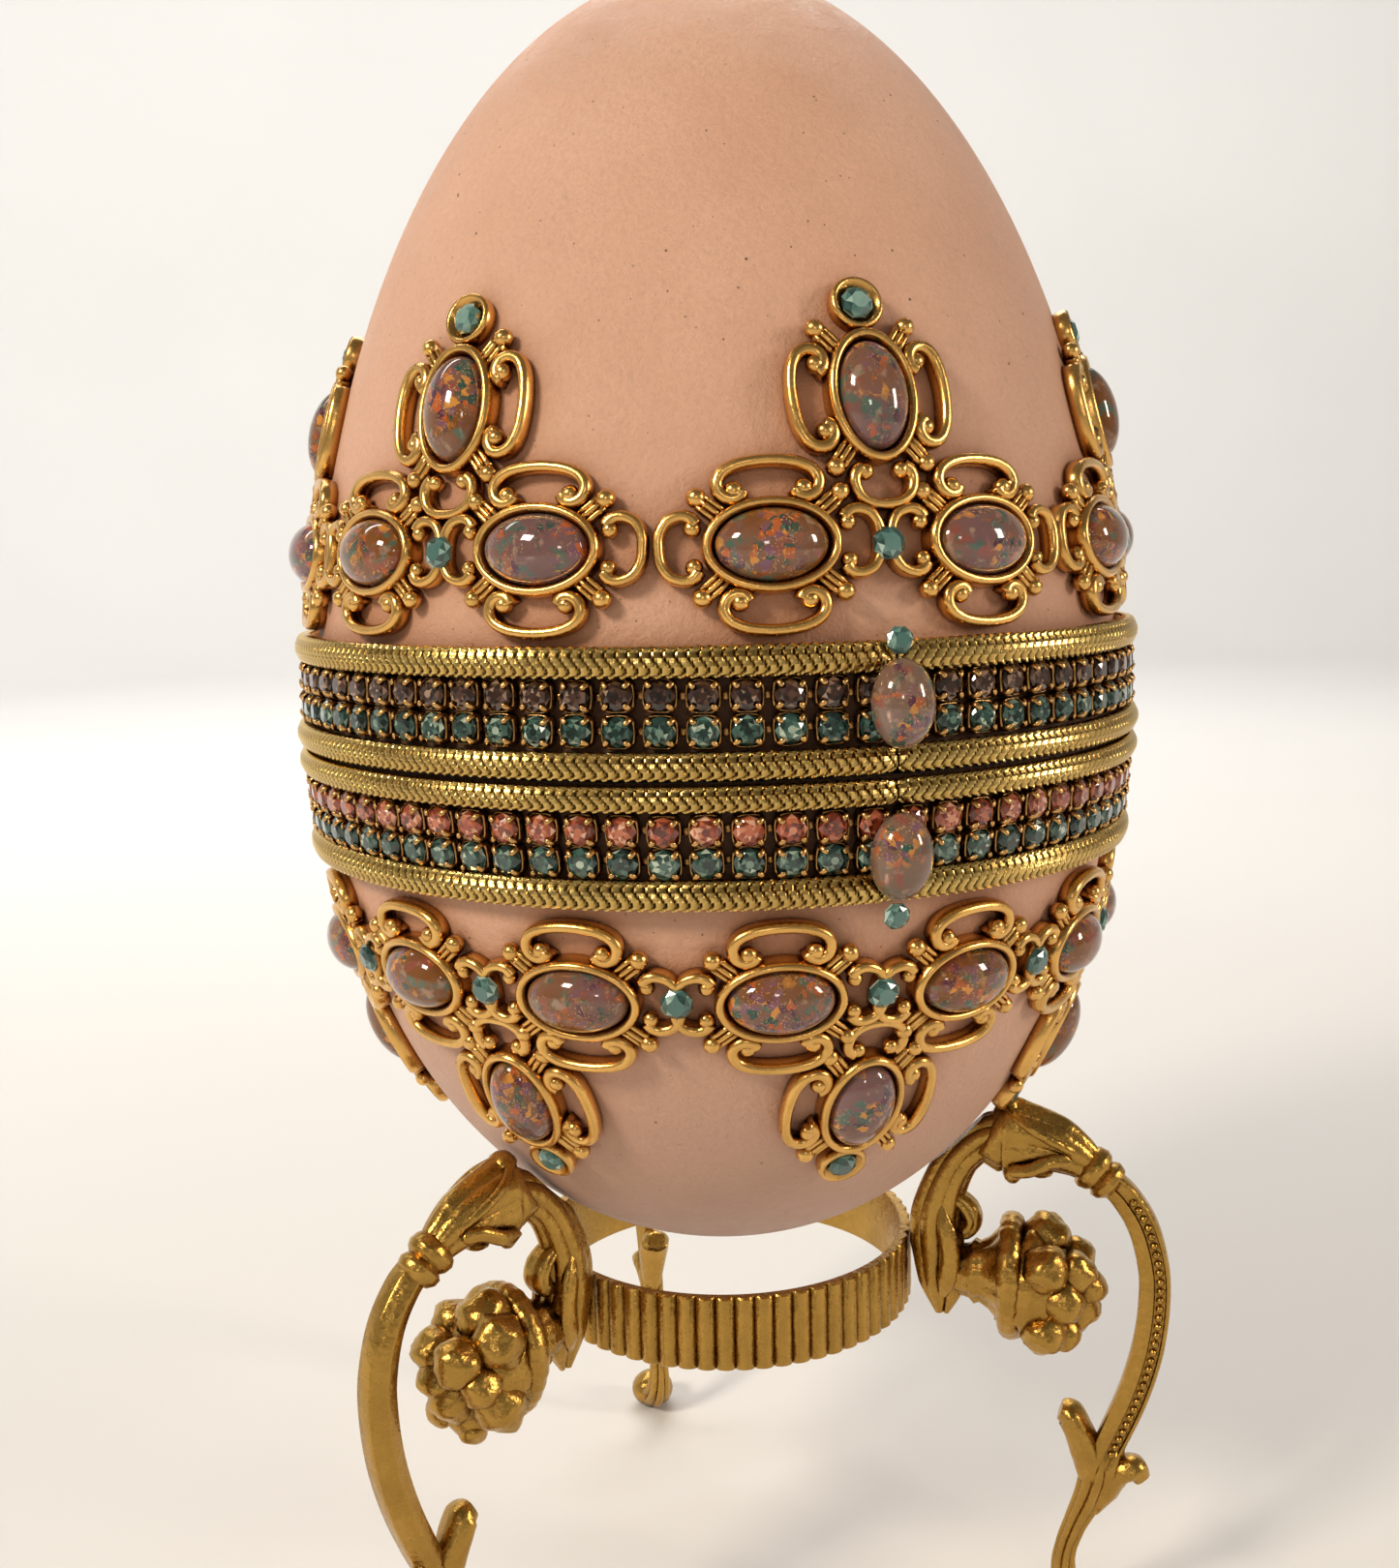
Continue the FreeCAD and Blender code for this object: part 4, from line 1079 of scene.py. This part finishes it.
def cornucopia(seed):
    """Ribbed horn with a roped rim, spilling a cluster of fruit."""
    profile = [(16.9, 0.9), (17.3, 1.5), (18.1, 1.9), (18.9, 2.1), (19.3, 2.5), (19.7, 2.35), (20.4, 2.8),
               (21.0, 3.5), (21.35, 4.1)]
    turn = full_turn(HORN_SIDES)
    rings = []
    for radius, half in profile:
        ribs = 1.0 - 0.09 * (1.0 - np.abs(np.sin(5.0 * turn + 0.3 * radius)) ** 0.7)
        rings.append(np.column_stack([np.full(HORN_SIDES, radius), FLATTENED * half * ribs * np.cos(turn),
                                      HORN_LEVEL + half * ribs * np.sin(turn)]))
    horn = np.vstack(rings), grid(len(profile), HORN_SIDES, close_columns=True).tolist()
    around = full_turn(ROPE_STEPS)
    twist = 1.0 + 0.035 * np.sin(26.0 * around) + 0.05 * np.sin(5.0 * around + 1.0)
    tube = full_turn(ROPE_SIDES)
    rope = []
    for angle, swell in zip(around, twist):
        centre = 4.05 + 0.12 * math.sin(3.0 * angle)
        reach = centre + 0.74 * swell * np.sin(tube)
        rope.append(np.column_stack([22.0 + 0.85 * swell * np.cos(tube),
                                     FLATTENED * reach * math.cos(angle),
                                     HORN_LEVEL - 0.05 + reach * math.sin(angle)]))
    rim = np.vstack(rope), grid(ROPE_STEPS, ROPE_SIDES, True, True)[:, ::-1].tolist()
    chance = random.Random(seed)
    fruits = []
    for out, across, level, radius in FRUITS:
        sway = [chance.uniform(-0.25, 0.25) for _ in range(3)]
        size = radius * chance.uniform(0.9, 1.02)
        stretch = [chance.uniform(0.86, 1.06) for _ in range(3)]
        points, faces = ball([0.0, 0.0, 0.0], size, 14, 24, stretch)
        dents = 1.0 + 0.09 * np.sin(points[:, 0] * 2.3 + out) * np.sin(points[:, 2] * 2.9 + across)
        dents += 0.045 * np.sin(points[:, 1] * 4.1 + level) * np.sin(points[:, 2] * 4.7 + out)
        centre = [out + sway[0], FLATTENED * (across + sway[1]), level + sway[2]]
        fruits.append((points * dents[:, None] + centre, faces))
    return joined([horn, rim] + fruits)


def reeded_ring():
    """Thin band with upright rounded reeds outside and a plain bore."""
    sides = REEDS * 10
    turn = full_turn(sides)
    reed = np.abs(np.sin(0.5 * REEDS * turn)) ** 0.55
    crest, wall = RING_BORE + RING_WALL, REED_DEPTH * reed
    profile = [(RING_BORE, 0.0, RING_FOOT + 0.1), (RING_BORE + 0.1, 0.0, RING_FOOT),
               (crest - 0.05, 0.8, RING_FOOT), (crest, 1.0, RING_FOOT + 0.12), (crest, 1.0, RING_TOP - 0.12),
               (crest - 0.05, 0.8, RING_TOP), (RING_BORE + 0.1, 0.0, RING_TOP),
               (RING_BORE, 0.0, RING_TOP - 0.1)]
    rings = [polar(radius + share * wall, turn, SEAM_Z + level) for radius, share, level in profile]
    return np.vstack(rings), grid(len(profile), sides, True, True).tolist()


new_piece("stand_ring_reeds", reeded_ring(), "stand", "stand_ring", "stand_brass", STAND_GOLD, crease=38.0)
for order, (name, angle) in enumerate(LEG_ANGLES.items()):
    leg = joined([stem(), acanthus(), cuff(), collar(), arm(), lower_leg()])
    new_piece("leg_" + name + "_casting", on_stand(leg, angle), "stand", "leg_" + name,
              "stand_brass", STAND_GOLD, crease=38.0)
    new_piece("cornucopia_" + name + "_casting", on_stand(cornucopia(SEED + order), angle), "stand",
              "cornucopia_" + name, "stand_brass", STAND_GOLD)


# ---- hinge
HINGE_AXIS_Y = 30.35
HINGE_HALF = 5.0
LID_KNUCKLE_HALF = 1.6
BASE_KNUCKLE_START = 1.8
BARREL_RADIUS = 1.0
PIN_RADIUS = 0.5
PIN_PLAY = 0.04
LEAF_BACK_Y = 29.05
LEAF_THICK = 0.5
LEAF_NEAR = 1.35
LEAF_FAR = 6.6
TAB_NEAR = 0.2
RIVET = 0.55
RIVET_PLACE = (3.1, 4.4)  # across from the middle, up or down from the seam
CORNER_STEPS = 5
ROD_SIDES = 32


def slab(left, right, low, high, bevel=0.1, corner=0.35):
    """Upright plate of a hinge leaf with rounded corners and a bevelled front."""
    centre = np.array([(left + right) / 2.0, (low + high) / 2.0])
    half = np.array([(right - left) / 2.0, (high - low) / 2.0])
    corner = min(corner, 0.8 * half.min())
    front = LEAF_BACK_Y + LEAF_THICK
    rings = []
    for depth, inset in ((LEAF_BACK_Y, 0.0), (front - bevel, 0.0), (front, bevel)):
        for quarter in range(4):
            signs = np.array([(1, 1), (-1, 1), (-1, -1), (1, -1)][quarter])
            for turn in np.radians(np.linspace(0.0, 90.0, CORNER_STEPS)) + quarter * 0.5 * math.pi:
                swing = np.array([math.cos(turn), math.sin(turn)])
                spot = centre + signs * (half - corner) + (corner - inset) * swing
                rings.append([spot[0], depth, SEAM_Z + spot[1]])
    sides = 4 * CORNER_STEPS
    faces = grid(3, sides, close_columns=True).tolist()
    faces += [list(range(sides))[::-1], list(range(2 * sides, 3 * sides))]
    return np.array(rings), [face[::-1] for face in faces]


def rod(left, right, profile):
    """Turned shape along the hinge's axis, from (inset from each end, radius) pairs."""
    stations = [(left + inset, radius) for inset, radius in profile]
    stations += [(right - inset, radius) for inset, radius in reversed(profile)]
    turn = full_turn(ROD_SIDES)
    points = [[x, HINGE_AXIS_Y + radius * math.cos(t), SEAM_Z + radius * math.sin(t)]
              for x, radius in stations for t in turn]
    return np.array(points), stations


def knuckle(left, right, bore):
    """Hollow piece of the hinge's barrel with chamfered ends."""
    points, stations = rod(left, right, [(0.0, bore), (0.0, 0.86 * BARREL_RADIUS), (0.14, BARREL_RADIUS)])
    return points, grid(len(stations), ROD_SIDES, close_rows=True, close_columns=True).tolist()


def leaf_with(knuckles, side, bore):
    """One hinge leaf: plate, two rivets, and the tabs and knuckles that it carries."""
    low, high = sorted((side * LEAF_NEAR, side * LEAF_FAR))
    parts = [slab(-HINGE_HALF, HINGE_HALF, low, high)]
    for left, right in knuckles:
        tab = sorted((side * TAB_NEAR, side * (LEAF_NEAR + 0.1)))
        parts += [slab(left, right, tab[0], tab[1], 0.05, 0.05), knuckle(left, right, bore)]
    for across in (-RIVET_PLACE[0], RIVET_PLACE[0]):
        centre = [across, LEAF_BACK_Y + LEAF_THICK - 0.05, SEAM_Z + side * RIVET_PLACE[1]]
        parts.append(ball(centre, RIVET, 8, 16, (1.0, 0.5, 1.0)))
    return joined(parts)


def hinge_pin():
    """Pin with domed ends, a little longer than the leaves."""
    dome = [(0.0, 0.02), (0.0, 0.3), (0.06, 0.42), (0.16, PIN_RADIUS - 0.005)]
    points, stations = rod(-HINGE_HALF - 0.2, HINGE_HALF + 0.2, dome)
    return points, grid(len(stations), ROD_SIDES, close_columns=True).tolist()


base_knuckles = [(-HINGE_HALF, -BASE_KNUCKLE_START), (BASE_KNUCKLE_START, HINGE_HALF)]
base_leaf = leaf_with(base_knuckles, -1.0, PIN_RADIUS)
lid_leaf = leaf_with([(-LID_KNUCKLE_HALF, LID_KNUCKLE_HALF)], 1.0, PIN_RADIUS + PIN_PLAY)
for name, part, body, node, crease in (
        ("base_hinge_leaf_plate", base_leaf, "egg_base", "base_hinge_leaf", 35.0),
        ("lid_hinge_leaf_plate", lid_leaf, "lid", "lid_hinge_leaf", 35.0),
        ("hinge_pin_rod", hinge_pin(), "egg_base", "hinge_pin", 50.0)):
    new_piece(name, part, body, node, "hinge_brass", HINGE_GOLD, crease=crease)


# ---- floor, light, camera
def add_floor():
    """Round pale floor that curves up into a low wall all around the object."""
    flat, bend, wall = 1.0, 0.3, 0.9
    profile = [(share * flat, 0.0) for share in (0.02, 0.2, 0.5, 0.8, 1.0)]
    profile += [(flat + bend * math.sin(turn), bend * (1.0 - math.cos(turn)))
                for turn in np.linspace(0.0, 0.5 * math.pi, 13)[1:]]
    profile.append((flat + bend, wall))
    sides = 96
    points, faces = lathe(profile, sides)
    faces.append(list(range(sides))[::-1])
    mesh = bpy.data.meshes.new("floor")
    mesh.from_pydata(points.tolist(), [], faces)
    mesh.polygons.foreach_set("use_smooth", [True] * len(mesh.polygons))
    look = Look("pale_floor", (0.76, 0.76, 0.75), 0.7)
    look.color(look.ramp(look.noise(0.004, 2.0), [(0.3, (0.74, 0.74, 0.73)), (0.7, (0.77, 0.77, 0.76))]))
    mesh.materials.append(look.material)
    floor = placed("floor", mesh)


def add_light(name, place, target, size, power, color):
    light = bpy.data.lights.new(name, "AREA")
    light.shape = "RECTANGLE"
    light.size, light.size_y = size
    light.energy = power
    light.color = color
    lamp = placed(name, light)
    lamp.location = place
    lamp.rotation_euler = (Vector(target) - Vector(place)).to_track_quat("-Z", "Y").to_euler()


def add_camera():
    """Close camera a little above the seam, with the clasp to its right."""
    azimuth, distance = math.radians(-19.5), 122.8 * MM
    right = Vector((math.cos(azimuth), math.sin(azimuth), 0.0))
    back = Vector((math.sin(azimuth), -math.cos(azimuth), 0.0))
    place = back * distance - right * 1.4 * MM + Vector((0.0, 0.0, (SEAM_Z + 13.7) * MM))
    pitch, roll = math.radians(-8.4), math.radians(1.3)
    turn = (Matrix.Rotation(azimuth, 4, "Z") @ Matrix.Rotation(0.5 * math.pi + pitch, 4, "X")
            @ Matrix.Rotation(-roll, 4, "Z"))
    data = bpy.data.cameras.new("camera")
    data.sensor_width = 36.0
    data.lens = 37.7778
    data.clip_start = 0.005
    camera = placed("camera", data)
    camera.matrix_world = Matrix.Translation(place) @ turn
    bpy.context.scene.camera = camera


add_floor()
centre = (0.0, 0.0, 0.07)
add_light("key", (-0.44, -0.19, 0.40), centre, (0.12, 0.12), 2.2, (1.0, 0.88, 0.72))
add_light("fill", (0.40, -0.30, 0.22), centre, (0.08, 0.16), 0.95, (1.0, 0.86, 0.72))
add_light("front", (-0.16, -0.55, 0.20), centre, (0.06, 0.06), 0.16, (1.0, 0.90, 0.78))
add_light("back", (0.15, 0.45, 0.50), centre, (0.4, 0.25), 1.0, (1.0, 0.94, 0.88))
add_light("backdrop", (0.0, 0.45, 0.75), (0.0, 0.9, 0.25), (1.2, 0.3), 9.0, (1.0, 0.97, 0.94))
world = bpy.data.worlds.new("studio")
world.use_nodes = True
world.node_tree.nodes["Background"].inputs["Color"].default_value = (1.0, 0.90, 0.80, 1.0)
world.node_tree.nodes["Background"].inputs["Strength"].default_value = 0.16
bpy.context.scene.world = world
bpy.context.scene.view_settings.view_transform = "Standard"
add_camera()
